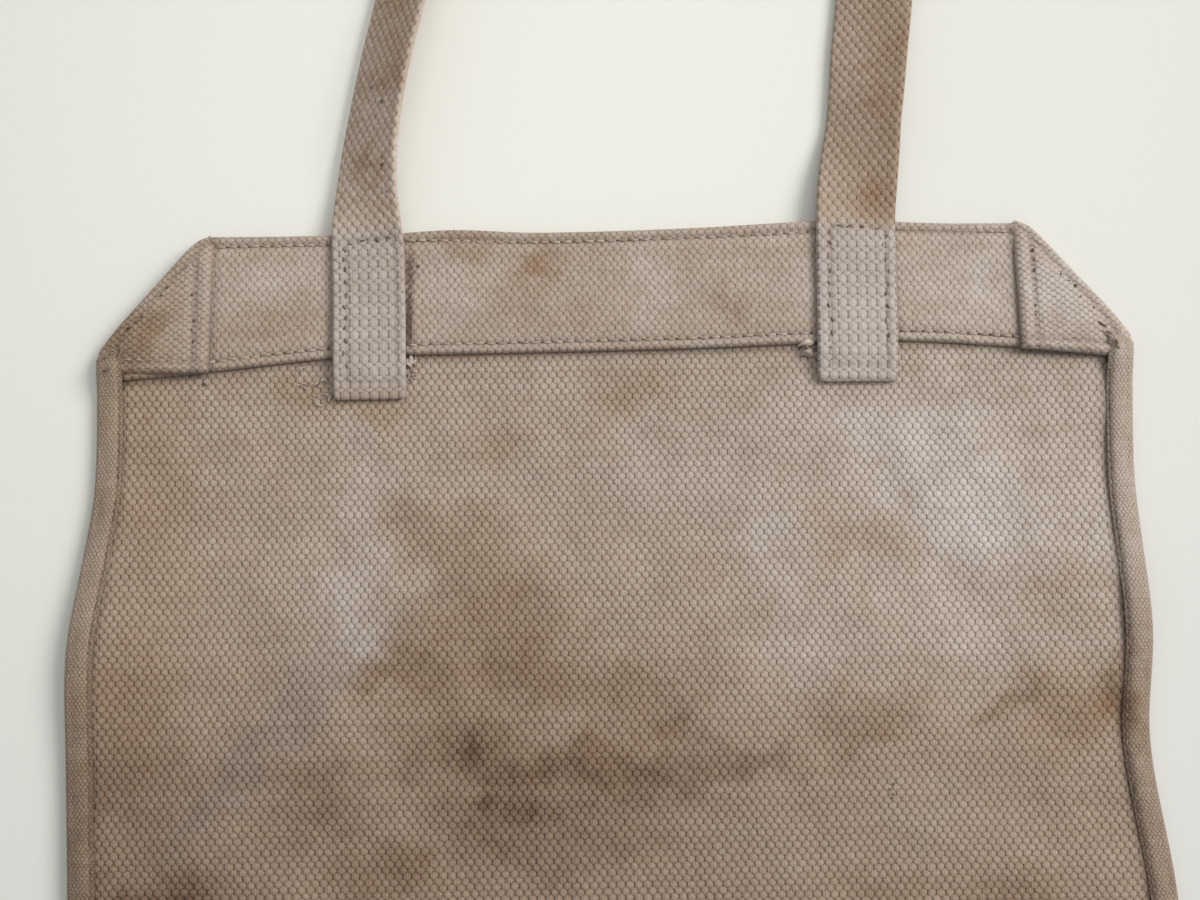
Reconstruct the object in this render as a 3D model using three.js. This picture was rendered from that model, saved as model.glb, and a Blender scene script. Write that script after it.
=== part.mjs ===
// A military webbing rucksack that lies on its back with its cover flap thrown open, inside up,
// and the two closing straps laid out beyond the flap.
// Millimetres. +Z is up, +Y runs from the base of the pack to the strap ends, +X is the right-hand side
// of the open flap. Modelled with y = 0 at the mouth, and moved at the end so that the origin is the
// middle of its footprint, on the surface that it lies on.
import * as THREE from "three";

// Driving dimensions
const GAP = 0.3; // between sewn pieces
const PACK = { width: 330, height: 381, wall: 2, corner: 22, frontRoll: 10, backRoll: 8, baseBow: 5 };
const FLAP = { wall: 1.8, lap: 12, top: 368, mitreAcross: 35.5, mitreAlong: 41, lift: 1.3 };
const BINDING = { wall: 1, width: 8.8, from: 22, to: 325.2 };
const HEM = { wall: 1.8, fold: 2.5, foot: 0.3, endGap: 9.6 };
const STRAP = { width: 25.4, wall: 2.4, apart: 158.6 };
const CHAPE = { width: 24, wall: 1.6, sewn: 40, standoff: 0.35 };
const BUCKLE = { bar: 3, thick: 2.6, inside: 26.4, taper: 0.5, pitch: 12 };

// The finished side edges of the flap, from its lap on the back panel to the start of the cut corners
const FLAP_EDGES = [
  { y: -12, left: -156, right: 156 },
  { y: 0, left: -157, right: 157 },
  { y: 45, left: -167, right: 168 },
  { y: 110, left: -169, right: 171 },
  { y: 157, left: -170.7, right: 168.7 },
  { y: 200, left: -173.7, right: 164 },
  { y: 233, left: -174.9, right: 167.4 },
  { y: 262, left: -170.6, right: 166.3 },
  { y: 285, left: -167.2, right: 165.3 },
  { y: 327, left: -167.8, right: 167.8 },
];

// The hem across the flap's free end: its folded top edge and its sewn lower edge
const HEM_EDGES = [
  { x: -160, top: 368, lower: 320 },
  { x: -131, top: 367.8, lower: 322.4 },
  { x: -92, top: 367.8, lower: 326.2 },
  { x: -30, top: 366.6, lower: 327 },
  { x: 30, top: 368.2, lower: 327.6 },
  { x: 90, top: 370, lower: 328.8 },
  { x: 131, top: 368.4, lower: 326 },
  { x: 160, top: 368, lower: 322.6 },
];

// Soft folds that lift the flap off the surface: a ridge's middle, its direction, reach, breadth and rise
const FLAP_FOLDS = [
  { x: -106, y: 205, heading: 42, length: 62, width: 26, rise: 7 },
  { x: -172, y: 232, heading: 90, length: 34, width: 30, rise: 5 },
  { x: 164, y: 240, heading: 90, length: 28, width: 30, rise: 5 },
  { x: 40, y: 96, heading: 6, length: 110, width: 34, rise: 6 },
  { x: -90, y: 70, heading: 160, length: 60, width: 26, rise: 4 },
];
const FOLDS_FADE = { rootFrom: 8, rootTo: 50, hemFrom: 296, hemTo: 314 };
const FLAP_ROWS = { from: 34, to: 314, count: 15 };

// The pack's height along its length: the front panel at its sides, how far its middle sags, the sides' bow
const PACK_SECTIONS = [
  { y: -381, rise: 101, sag: 3, bow: 0 },
  { y: -345, rise: 100, sag: 6, bow: 3 },
  { y: -260, rise: 97, sag: 13, bow: 7 },
  { y: -150, rise: 94, sag: 19, bow: 9 },
  { y: -60, rise: 90, sag: 24, bow: 7 },
  { y: 0, rise: 87, sag: 28, bow: 4 },
];

// Dents and creases of the front panel, as for the flap
const FRONT_FOLDS = [
  { x: -88, y: -62, heading: 64, length: 62, width: 26, rise: -6 },
  { x: 104, y: -88, heading: 118, length: 58, width: 28, rise: -7 },
  { x: 12, y: -175, heading: 12, length: 90, width: 30, rise: 4 },
];

// The closing straps from the sewn end to the free end: middle line, and roll with the right edge up
const STRAP_ROUTES = {
  left: [
    { y: 312.3, x: -79.1, z: 4.8, roll: 0 },
    { y: 316, x: -79.1, z: 4.8, roll: 0 },
    { y: 324.5, x: -79.1, z: 6.8, roll: 0 },
    { y: 345, x: -79.1, z: 6.8, roll: 0 },
    { y: 370, x: -79.6, z: 6.8, roll: 0 },
    { y: 380, x: -80, z: 7.6, roll: 9 },
    { y: 395, x: -80, z: 9, roll: 32 },
    { y: 413, x: -78, z: 10.6, roll: 46 },
    { y: 430, x: -74.6, z: 10.5, roll: 46 },
    { y: 452, x: -69.2, z: 9.6, roll: 39 },
    { y: 490, x: -60.5, z: 6.1, roll: 20 },
    { y: 532, x: -54, z: 3.1, roll: 6 },
    { y: 575, x: -50.5, z: 1.7, roll: 0 },
    { y: 618, x: -49, z: 1.6, roll: 0 },
  ],
  right: [
    { y: 315.5, x: 77.9, z: 4.8, roll: 0 },
    { y: 319, x: 78, z: 4.8, roll: 0 },
    { y: 326.5, x: 78.2, z: 6.8, roll: 0 },
    { y: 345, x: 78.6, z: 6.8, roll: 0 },
    { y: 372, x: 79.5, z: 6.8, roll: 0 },
    { y: 384, x: 80.7, z: 7.4, roll: 10 },
    { y: 401, x: 83.1, z: 7.6, roll: 26 },
    { y: 412, x: 84.6, z: 7.4, roll: 25 },
    { y: 428, x: 86.5, z: 6.4, roll: 20 },
    { y: 446, x: 88.9, z: 6.2, roll: 19 },
    { y: 490, x: 93, z: 3.9, roll: 9 },
    { y: 532, x: 95.5, z: 2.2, roll: 2 },
    { y: 575, x: 96, z: 1.6, roll: 0 },
    { y: 618, x: 95, z: 1.6, roll: 0 },
  ],
};

// Where the buckles are sewn on: the closing buckles on the front panel, the shoulder-strap buckles on the sides
const CLOSING_BUCKLE_Y = -366;
const SHOULDER_BUCKLES = [
  { end: "top", y: -96, toward: 1, height: 0.42 },
  { end: "base", y: -284, toward: -1, height: 0.42 },
];

// Sizes that follow from these
const HALF = PACK.width / 2;
const FLAP_TOP_SKIN = FLAP.lift + FLAP.wall;
const HEM_TOP_SKIN = FLAP_TOP_SKIN + GAP + HEM.wall;
const CORNER_TOP_SKIN = HEM_TOP_SKIN + GAP + HEM.wall;
const MITRE_LENGTH = Math.hypot(FLAP.mitreAcross, FLAP.mitreAlong);
const BASE_END = -PACK.height - PACK.baseBow;
const STRAP_END = STRAP_ROUTES.left.at(-1).y;

// Finishes
const webbing = new THREE.MeshStandardMaterial({ color: 0xa8957f, roughness: 0.95, metalness: 0 });
const tape = new THREE.MeshStandardMaterial({ color: 0x9c8670, roughness: 0.95, metalness: 0 });
const strapWebbing = new THREE.MeshStandardMaterial({ color: 0xa38d76, roughness: 0.95, metalness: 0 });
const agedBrass = new THREE.MeshStandardMaterial({ color: 0x8a6f3a, roughness: 0.45, metalness: 1 });

const lerp = THREE.MathUtils.lerp;
const smoothstep = THREE.MathUtils.smoothstep;

// Evenly spaced numbers from one end to the other, both ends included
function steps(from, to, count) {
  return Array.from({ length: count + 1 }, (_, i) => lerp(from, to, i / count));
}

// A column of a table at a place along its key column, on a smooth cubic through the rows
function along(table, key, column, at) {
  const last = table.length - 1;
  const place = THREE.MathUtils.clamp(at, table[0][key], table[last][key]);
  let i = 0;
  while (i < last - 1 && place > table[i + 1][key]) i += 1;
  const slope = (k) => {
    const before = table[Math.max(k - 1, 0)];
    const after = table[Math.min(k + 1, last)];
    return (after[column] - before[column]) / (after[key] - before[key]);
  };
  const span = table[i + 1][key] - table[i][key];
  const t = (place - table[i][key]) / span;
  const rise = table[i + 1][column] - table[i][column];
  const lean = t * (1 - t) * ((1 - t) * (slope(i) * span - rise) - t * (slope(i + 1) * span - rise));
  return table[i][column] + t * rise + lean;
}

// The sum of a table's ridges at a point
function foldHeight(folds, x, y) {
  return folds.reduce((sum, fold) => {
    const turn = THREE.MathUtils.degToRad(fold.heading);
    const dx = x - fold.x;
    const dy = y - fold.y;
    const lengthways = (dx * Math.cos(turn) + dy * Math.sin(turn)) / fold.length;
    const crossways = (dy * Math.cos(turn) - dx * Math.sin(turn)) / fold.width;
    return sum + fold.rise * Math.exp(-(lengthways ** 2) - crossways ** 2);
  }, 0);
}

// The direction that a surface's outer face looks in, from the cross product of its u and v directions
function surfaceNormal(surface, us, vs) {
  return (u, v) => {
    const du = (us.at(-1) - us[0]) * 1e-4;
    const dv = (vs.at(-1) - vs[0]) * 1e-4;
    const within = (at, ends) => THREE.MathUtils.clamp(at, Math.min(...ends), Math.max(...ends));
    const [endsU, endsV] = [[us[0], us.at(-1)], [vs[0], vs.at(-1)]];
    const alongU = surface(within(u + du, endsU), v).sub(surface(within(u - du, endsU), v));
    const alongV = surface(u, within(v + dv, endsV)).sub(surface(u, within(v - dv, endsV)));
    return alongU.cross(alongV).normalize();
  };
}

// A closed wall of even thickness: surface(u, v) is its outer face, and the inner face lies the thickness behind it
function wallGeometry(surface, us, vs, thickness, normal = surfaceNormal(surface, us, vs)) {
  const points = [];
  for (const v of vs) for (const u of us) points.push(surface(u, v));
  const skin = points.length;
  for (const v of vs) for (const u of us) points.push(surface(u, v).addScaledVector(normal(u, v), -thickness));

  const at = (i, j) => j * us.length + i;
  const index = [];
  const quad = (a, b, c, d) => index.push(a, b, c, a, c, d);
  const lastU = us.length - 1;
  const lastV = vs.length - 1;
  for (let j = 0; j < lastV; j += 1) {
    for (let i = 0; i < lastU; i += 1) {
      quad(at(i, j), at(i + 1, j), at(i + 1, j + 1), at(i, j + 1));
      quad(skin + at(i, j), skin + at(i, j + 1), skin + at(i + 1, j + 1), skin + at(i + 1, j));
    }
    quad(at(0, j), at(0, j + 1), skin + at(0, j + 1), skin + at(0, j));
    quad(at(lastU, j), skin + at(lastU, j), skin + at(lastU, j + 1), at(lastU, j + 1));
  }
  for (let i = 0; i < lastU; i += 1) {
    quad(at(i, 0), skin + at(i, 0), skin + at(i + 1, 0), at(i + 1, 0));
    quad(at(i, lastV), at(i + 1, lastV), skin + at(i + 1, lastV), skin + at(i, lastV));
  }
  const geometry = new THREE.BufferGeometry().setFromPoints(points);
  geometry.setIndex(index);
  geometry.computeVertexNormals();
  return geometry;
}

function piece(name, geometry, material) {
  const mesh = new THREE.Mesh(geometry, material);
  mesh.name = name;
  return mesh;
}

// The places along the flap where its cloth and its bindings are shaped together
function flapRows() {
  return steps(FLAP_ROWS.from, FLAP_ROWS.to, FLAP_ROWS.count);
}

// The flap's underside: flat at the lap and the hem, lifted between them by its folds
function flapUnderside(x, y) {
  const fade =
    smoothstep(y, FOLDS_FADE.rootFrom, FOLDS_FADE.rootTo) *
    (1 - smoothstep(y, FOLDS_FADE.hemFrom, FOLDS_FADE.hemTo));
  const lift = FLAP.lift * smoothstep(y, 0, BINDING.from - 4);
  return lift + fade * foldHeight(FLAP_FOLDS, x, y);
}

// How far the cut corner stands in from the side edge at a place along the flap
function mitreInset(y) {
  const start = FLAP.top - FLAP.mitreAlong;
  return Math.max(0, (y - start) * (FLAP.mitreAcross / FLAP.mitreAlong));
}

// The finished edge of the flap on one side, cut corner included
function flapEdge(side, y) {
  const column = side < 0 ? "left" : "right";
  return along(FLAP_EDGES, "y", column, y) - side * mitreInset(y);
}

// The main cloth of the flap, its edges tucked inside the binding, the hem and the corner folds
function flapPanel() {
  const tuck = BINDING.wall + GAP + FLAP.wall / 2 - 0.2;
  const cornerTuck = (HEM.wall + 2 * GAP) * (MITRE_LENGTH / FLAP.mitreAlong);
  const topTuck = HEM.wall + 2 * GAP;
  const mitreStart = FLAP.top - FLAP.mitreAlong;
  const cornerFrom = mitreStart - HEM.wall - GAP;
  const surface = (u, v) => {
    const bare = v < BINDING.from - 2 ? 0 : tuck;
    const inset = v < cornerFrom ? bare : Math.max(tuck, cornerTuck);
    const x = lerp(flapEdge(-1, v) + inset, flapEdge(1, v) - inset, u);
    const toTop = smoothstep(v, mitreStart - 8, FLAP.top) * (along(HEM_EDGES, "x", "top", x) - FLAP.top);
    const y = v + toTop;
    return new THREE.Vector3(x, y, flapUnderside(x, v) + FLAP.wall);
  };
  const underBinding = BINDING.width / (2 * HALF);
  const us = [0, underBinding, ...steps(0.09, 0.91, 9), 1 - underBinding, 1];
  const vs = [
    -FLAP.lap, 0, 9, BINDING.from - 2.1, BINDING.from - 1.9, ...flapRows(),
    cornerFrom - 0.1, cornerFrom + 0.1, mitreStart, 347, FLAP.top - topTuck,
  ];
  return piece("flap_panel", wallGeometry(surface, us, vs, FLAP.wall), webbing);
}

// The hem: the flap's end turned over and sewn down, with its fold round the end of the main cloth. Its ends
// follow the cut corners.
function flapHem() {
  const underside = FLAP_TOP_SKIN + GAP;
  const cornerTuck = (HEM.wall + 2 * GAP) * (MITRE_LENGTH / FLAP.mitreAlong);
  const fullWidth = HALF + 3 - HEM.endGap;
  const surface = (u, v) => {
    const turn = THREE.MathUtils.clamp(v - 1, 0, 1) * (Math.PI / 2);
    const down = Math.max(v - 2, 0) * (underside + HEM.wall - HEM.fold - HEM.foot);
    const place = (x) => {
      const lower = along(HEM_EDGES, "x", "lower", x);
      const top = along(HEM_EDGES, "x", "top", x);
      return lerp(lower, top - HEM.fold, Math.min(v, 1)) + HEM.fold * Math.sin(turn);
    };
    const side = u < 0 ? -1 : 1;
    const widthAt = (y) => Math.min(fullWidth, side * flapEdge(side, y) - cornerTuck);
    const width = widthAt(place(side * widthAt(place(side * fullWidth))));
    const z = underside + HEM.wall - HEM.fold * (1 - Math.cos(turn)) - down;
    return new THREE.Vector3(u * width, place(u * width), z);
  };
  const us = steps(-1, 1, 22);
  const vs = [0, 0.14, 0.4, 0.7, 1, 1.5, 2, 3];
  return piece("flap_hem", wallGeometry(surface, us, vs, HEM.wall), webbing);
}

// A corner of the flap folded in on the slant over the hem: a triangle that wraps round the slanting edge
function flapCorner(name, side) {
  const start = new THREE.Vector2(flapEdge(side, FLAP.top - FLAP.mitreAlong), FLAP.top - FLAP.mitreAlong);
  const end = new THREE.Vector2(start.x - side * FLAP.mitreAcross, FLAP.top);
  const tip = new THREE.Vector2(end.x - side * 1.5, along(HEM_EDGES, "x", "lower", end.x) + 1.4);
  const slant = end.clone().sub(start).normalize();
  const inwardX = -side * slant.y;
  const inwardY = side * slant.x;
  const reach = tip.clone().sub(start);
  const foot = reach.dot(slant);
  const depth = reach.x * inwardX + reach.y * inwardY;
  const narrow = 4;
  const surface = (u, v) => {
    const s = u * MITRE_LENGTH;
    const share = s < foot ? s / foot : (MITRE_LENGTH - s) / (MITRE_LENGTH - foot);
    const across = lerp(narrow, depth, THREE.MathUtils.clamp(share, 0, 1));
    const up = Math.min(v, 1) * (CORNER_TOP_SKIN - HEM.fold - HEM.foot);
    const turn = THREE.MathUtils.clamp(v - 1, 0, 1) * (Math.PI / 2);
    const over = Math.max(v - 2, 0) * (across - HEM.fold);
    const inset = HEM.fold * (1 - Math.cos(turn)) + over;
    const z = HEM.foot + up + HEM.fold * Math.sin(turn);
    const x = start.x + slant.x * s + inwardX * inset;
    const y = start.y + slant.y * s + inwardY * inset;
    return new THREE.Vector3(x, y, z);
  };
  const footShare = foot / MITRE_LENGTH;
  const shares = [...steps(0, footShare, 2), ...steps(footShare, 1, 3).slice(1)];
  const us = side < 0 ? shares.slice().reverse() : shares;
  const vs = [0, 1, 1.5, 2, 3];
  return piece(name, wallGeometry(surface, us, vs, HEM.wall), webbing);
}

// Tape folded round one side edge of the flap, along its length
function flapBinding(name, side) {
  const skin = BINDING.wall + GAP;
  const radius = FLAP.wall / 2 + skin;
  const legs = BINDING.width - radius;
  const surface = (u, v) => {
    const edge = flapEdge(side, v) - side * radius;
    const inset = u < 1 ? (1 - u) * legs : Math.max(u - 2, 0) * legs;
    const turn = THREE.MathUtils.clamp(u - 1, 0, 1) * Math.PI;
    const x = edge + side * (radius * Math.sin(turn) - inset);
    const middle = flapUnderside(edge - side * inset, v) + FLAP.wall / 2;
    return new THREE.Vector3(x, v, middle + radius * Math.cos(turn));
  };
  const overTop = [0, 1, 1.25, 1.5, 1.75, 2, 3];
  const us = side < 0 ? overTop.slice().reverse() : overTop;
  const vs = [BINDING.from, ...flapRows(), BINDING.to];
  return piece(name, wallGeometry(surface, us, vs, BINDING.wall), tape);
}

// A closing strap of flat webbing, sewn on over the hem and twisting as it lies on the surface
function closingStrap(name, route) {
  const middle = (y) => new THREE.Vector3(along(route, "y", "x", y), y, along(route, "y", "z", y));
  const surface = (u, v) => {
    const tangent = middle(v + 0.1).sub(middle(v - 0.1)).normalize();
    const level = new THREE.Vector3(tangent.y, -tangent.x, 0).normalize();
    const upright = level.clone().cross(tangent);
    const roll = THREE.MathUtils.degToRad(along(route, "y", "roll", v));
    const across = level.clone().multiplyScalar(Math.cos(roll)).addScaledVector(upright, Math.sin(roll));
    const normal = across.clone().cross(tangent);
    return middle(v)
      .addScaledVector(across, (u * STRAP.width) / 2)
      .addScaledVector(normal, STRAP.wall / 2);
  };
  const overHem = steps(route[0].y, route[4].y, 10);
  const beyond = steps(route[4].y, route.at(-1).y, 28).slice(1);
  return piece(name, wallGeometry(surface, steps(-1, 1, 2), [...overHem, ...beyond], STRAP.wall), strapWebbing);
}

// How far a point of the pack's plan lies inside its outline, which is straight at the mouth and round at the base
function insideOutline(x, y) {
  const toSide = HALF - Math.abs(x);
  const toBase = y + PACK.height;
  if (toSide < PACK.corner && toBase < PACK.corner) {
    return PACK.corner - Math.hypot(PACK.corner - toSide, PACK.corner - toBase);
  }
  return Math.min(toSide, toBase);
}

// Half the pack's width at a place along it
function halfWidth(y) {
  const intoCorner = Math.max(0, PACK.corner - (y + PACK.height));
  return HALF - PACK.corner + Math.sqrt(Math.max(0, PACK.corner ** 2 - intoCorner ** 2));
}

// How far a panel has turned away at a distance from its edge, as a quarter circle
function rollAway(distance, radius) {
  const d = THREE.MathUtils.clamp(distance, 0, radius);
  return radius - Math.sqrt(d * (2 * radius - d));
}

// The front panel before its edges turn down
function frontHeight(x, y) {
  const span = 1 - (x / HALF) ** 2;
  const crease = foldHeight(FRONT_FOLDS, x, y) * span;
  return along(PACK_SECTIONS, "y", "rise", y) - along(PACK_SECTIONS, "y", "sag", y) * span + crease;
}

// The back panel's underside: flat, with a step up over the lap of the flap
function backHeight(y) {
  return (FLAP.wall + 2 * GAP) * smoothstep(y, -FLAP.lap - 10, -FLAP.lap - 2);
}

// Where a panel's grid is finest: through its turned edges, as shares of the turn
const ROLL_STEPS = [0, 0.08, 0.32, 1];

function panelColumns(roll, spans) {
  const edge = ROLL_STEPS.map((share) => 1 - (share * roll) / HALF);
  return [...edge.map((u) => -u), ...steps(-0.84, 0.84, spans), ...edge.slice().reverse()];
}

function panelRows(roll) {
  const edge = ROLL_STEPS.map((share) => -PACK.height + share * roll);
  return [...edge, -PACK.height + 15, -PACK.height + PACK.corner];
}

// A panel of the pack with its edges turned away from its outer side, which is up (1) or down (-1)
function packPanel(name, height, outer, roll, columns, rows) {
  const surface = (u, v) => {
    const x = u * halfWidth(v);
    return new THREE.Vector3(x, v, height(x, v) - outer * rollAway(insideOutline(x, v), roll));
  };
  const normal = (u, v) => {
    const x = u * halfWidth(v);
    const d = THREE.MathUtils.clamp(insideOutline(x, v), roll * 1e-5, roll);
    const fall = (outer * (roll - d)) / Math.sqrt(d * (2 * roll - d));
    const slope = (dx, dy) => {
      const lean = height(x + dx, v + dy) - height(x - dx, v - dy);
      const inset = insideOutline(x + dx, v + dy) - insideOutline(x - dx, v - dy);
      return (lean + fall * inset) / (2 * Math.hypot(dx, dy));
    };
    return new THREE.Vector3(-slope(0.01, 0), -slope(0, 0.01), 1).normalize().multiplyScalar(outer);
  };
  return piece(name, wallGeometry(surface, columns, rows, PACK.wall, normal), webbing);
}

function frontPanel() {
  const rows = [...panelRows(PACK.frontRoll), ...steps(-330, 0, 10)];
  return packPanel("front_panel", frontHeight, 1, PACK.frontRoll, panelColumns(PACK.frontRoll, 8), rows);
}

function backPanel() {
  const lapStart = -FLAP.lap - 10;
  const rows = [
    ...panelRows(PACK.backRoll), ...steps(-240, -60, 2), ...steps(lapStart, lapStart + 8, 4), 0,
  ];
  const columns = panelColumns(PACK.backRoll, 2).reverse();
  return packPanel("back_panel", (x, y) => backHeight(y), -1, PACK.backRoll, columns, rows);
}

// The pack's outline as one run: down the left side, across the base and up the right side
const CORNER_RUN = (PACK.corner * Math.PI) / 2;
const SIDE_RUN = PACK.height - PACK.corner;
const BASE_RUN = PACK.width - 2 * PACK.corner;
const OUTLINE_RUN = 2 * SIDE_RUN + 2 * CORNER_RUN + BASE_RUN;

function outlinePoint(run) {
  const mirrored = run > OUTLINE_RUN / 2;
  const s = mirrored ? OUTLINE_RUN - run : run;
  const flip = mirrored ? -1 : 1;
  if (s < SIDE_RUN) return { x: -HALF * flip, y: -s, nx: -flip, ny: 0 };
  if (s < SIDE_RUN + CORNER_RUN) {
    const turn = (s - SIDE_RUN) / PACK.corner;
    const nx = -Math.cos(turn) * flip;
    const ny = -Math.sin(turn);
    const x = flip * (PACK.corner - HALF) + PACK.corner * nx;
    return { x, y: PACK.corner - PACK.height + PACK.corner * ny, nx, ny };
  }
  const x = flip * (PACK.corner - HALF + (s - SIDE_RUN - CORNER_RUN));
  return { x, y: -PACK.height, nx: 0, ny: -1 };
}

// The wall between the back and front panels, bowed out a little between them
function gussetPoint(run, v) {
  const p = outlinePoint(run);
  const low = backHeight(p.y) + PACK.backRoll + GAP;
  const high = frontHeight(p.x, p.y) - PACK.frontRoll - GAP;
  const sideBow = along(PACK_SECTIONS, "y", "bow", p.y) * p.nx ** 2;
  const baseBow = PACK.baseBow * p.ny ** 2 * (1 - (p.x / HALF) ** 2);
  const out = (sideBow + baseBow) * Math.sin(Math.PI * v);
  return new THREE.Vector3(p.x + p.nx * out, p.y + p.ny * out, lerp(low, high, v));
}

function gusset(name, runs) {
  return piece(name, wallGeometry(gussetPoint, runs, steps(0, 1, 6), PACK.wall), webbing);
}

function gussets() {
  const seam = SIDE_RUN + CORNER_RUN / 2;
  const lapRun = FLAP.lap + 10;
  const mouthRuns = [0, ...steps(lapRun - 8, lapRun, 4)];
  const left = [...mouthRuns, ...steps(51, SIDE_RUN, 8), ...steps(SIDE_RUN, seam - GAP, 2).slice(1)];
  const right = left.map((run) => OUTLINE_RUN - run).reverse();
  const intoBase = steps(seam + GAP, SIDE_RUN + CORNER_RUN, 2);
  const outOfBase = intoBase.map((run) => OUTLINE_RUN - run).reverse();
  const base = [...intoBase, ...steps(intoBase[2], outOfBase[0], 10).slice(1, -1), ...outOfBase];
  return [gusset("side_left", left), gusset("base_panel", base), gusset("side_right", right)];
}

// A tab of webbing doubled round a buckle's bar. It lies along local +X from its sewn end, and local +Z is outward.
function chapeGeometry() {
  const loop = BUCKLE.bar / 2 + 0.9 + CHAPE.wall;
  const doubled = CHAPE.standoff + 2 * CHAPE.wall + GAP;
  const surface = (u, v) => {
    const across = u * (CHAPE.width / 2);
    if (v <= 1) return new THREE.Vector3(v * CHAPE.sewn, across, CHAPE.standoff);
    if (v <= 2) {
      const turn = (v - 1) * Math.PI;
      const up = CHAPE.standoff + loop * (1 - Math.cos(turn));
      return new THREE.Vector3(CHAPE.sewn + loop * Math.sin(turn), across, up);
    }
    const back = v - 2;
    const height = lerp(CHAPE.standoff + 2 * loop, doubled, smoothstep(back, 0, 0.75));
    return new THREE.Vector3(lerp(CHAPE.sewn, 1, back), across, height);
  };
  const vs = [0, 1, ...steps(1, 2, 8).slice(1), ...steps(2.15, 2.75, 4), 3];
  return wallGeometry(surface, [-1, 1], vs, CHAPE.wall);
}

// A plain buckle of two or three bars in one frame, its first bar at the local origin. Its second slot is a
// little narrower than the first.
function buckleGeometry(bars) {
  const half = BUCKLE.inside / 2 + BUCKLE.bar;
  const reach = (bars - 1) * BUCKLE.pitch + BUCKLE.bar / 2;
  const rectangle = (shape, x0, y0, x1, y1) =>
    shape.moveTo(x0, y0).lineTo(x1, y0).lineTo(x1, y1).lineTo(x0, y1).closePath();
  const frame = rectangle(new THREE.Shape(), -BUCKLE.bar / 2, -half, reach, half);
  for (let slot = 0; slot < bars - 1; slot += 1) {
    const x0 = slot * BUCKLE.pitch + BUCKLE.bar / 2;
    const x1 = (slot + 1) * BUCKLE.pitch - BUCKLE.bar / 2;
    const side = (BUCKLE.inside - slot * BUCKLE.taper) / 2;
    frame.holes.push(rectangle(new THREE.Path(), x0, -side, x1, side));
  }
  const geometry = new THREE.ExtrudeGeometry(frame, { depth: BUCKLE.thick, bevelEnabled: false });
  return geometry.translate(0, 0, -BUCKLE.thick / 2);
}

// A buckle on its chape, sewn to a panel at a point with its outward normal, and lying along a direction
function buckleSet(name, point, outward, direction, bars) {
  const z = outward.clone().normalize();
  const y = z.clone().cross(direction).normalize();
  const x = y.clone().cross(z);
  const set = new THREE.Group();
  set.position.copy(point);
  set.quaternion.setFromRotationMatrix(new THREE.Matrix4().makeBasis(x, y, z));
  const chape = piece(`${name}_chape`, chapeGeometry(), strapWebbing);
  const buckle = piece(`${name}_buckle`, buckleGeometry(bars), agedBrass);
  buckle.position.set(CHAPE.sewn, 0, CHAPE.standoff + BUCKLE.bar / 2 + 0.9 + CHAPE.wall);
  set.add(chape, buckle);
  return set;
}

function closingBuckle(name, x) {
  const point = (dx, dy) => {
    const [px, py] = [x + dx, CLOSING_BUCKLE_Y + dy];
    return new THREE.Vector3(px, py, frontHeight(px, py));
  };
  const middle = CHAPE.sewn / 2;
  const direction = point(0, middle + 5).sub(point(0, middle - 5)).normalize();
  const across = point(5, middle).sub(point(-5, middle));
  const seat = point(0, middle).addScaledVector(direction, -middle);
  return buckleSet(name, seat, across.cross(direction), direction, 3);
}

function shoulderBuckle(side, place) {
  const runAt = (y) => (side < 0 ? -y : OUTLINE_RUN + y);
  const middleY = place.y + (place.toward * CHAPE.sewn) / 2;
  const point = (dy, dv) => gussetPoint(runAt(middleY + dy), place.height + dv);
  const direction = point(5, 0).sub(point(-5, 0)).normalize().multiplyScalar(place.toward);
  const upward = point(0, 0.05).sub(point(0, -0.05));
  const outward = direction.clone().cross(upward).multiplyScalar(side * place.toward);
  const seat = point(0, 0).addScaledVector(direction, -CHAPE.sewn / 2);
  const name = `shoulder_${place.end}_${side < 0 ? "left" : "right"}`;
  return buckleSet(name, seat, outward, direction, 2);
}

const rucksack = new THREE.Group();
rucksack.add(
  flapPanel(),
  flapHem(),
  flapCorner("flap_corner_left", -1),
  flapCorner("flap_corner_right", 1),
  flapBinding("flap_binding_left", -1),
  flapBinding("flap_binding_right", 1),
  closingStrap("strap_left", STRAP_ROUTES.left),
  closingStrap("strap_right", STRAP_ROUTES.right),
  frontPanel(),
  backPanel(),
  ...gussets(),
  closingBuckle("closing_left", -STRAP.apart / 2),
  closingBuckle("closing_right", STRAP.apart / 2),
  ...SHOULDER_BUCKLES.flatMap((place) => [-1, 1].map((side) => shoulderBuckle(side, place))),
);
rucksack.position.y = -(BASE_END + STRAP_END) / 2;

export default rucksack;
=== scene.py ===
"""Looks of a military webbing rucksack that lies on its back with its cover flap thrown open, inside up.

Shapes are worked out in millimetres with y = 0 at the pack's mouth, x to the right of the open flap and
z up, and go into Blender in metres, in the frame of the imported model.
"""

import logging
from dataclasses import dataclass, field
from enum import Enum
from typing import Any, Callable, NamedTuple, Sequence

import bpy
import numpy as np
from mathutils import Matrix, Vector


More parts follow.
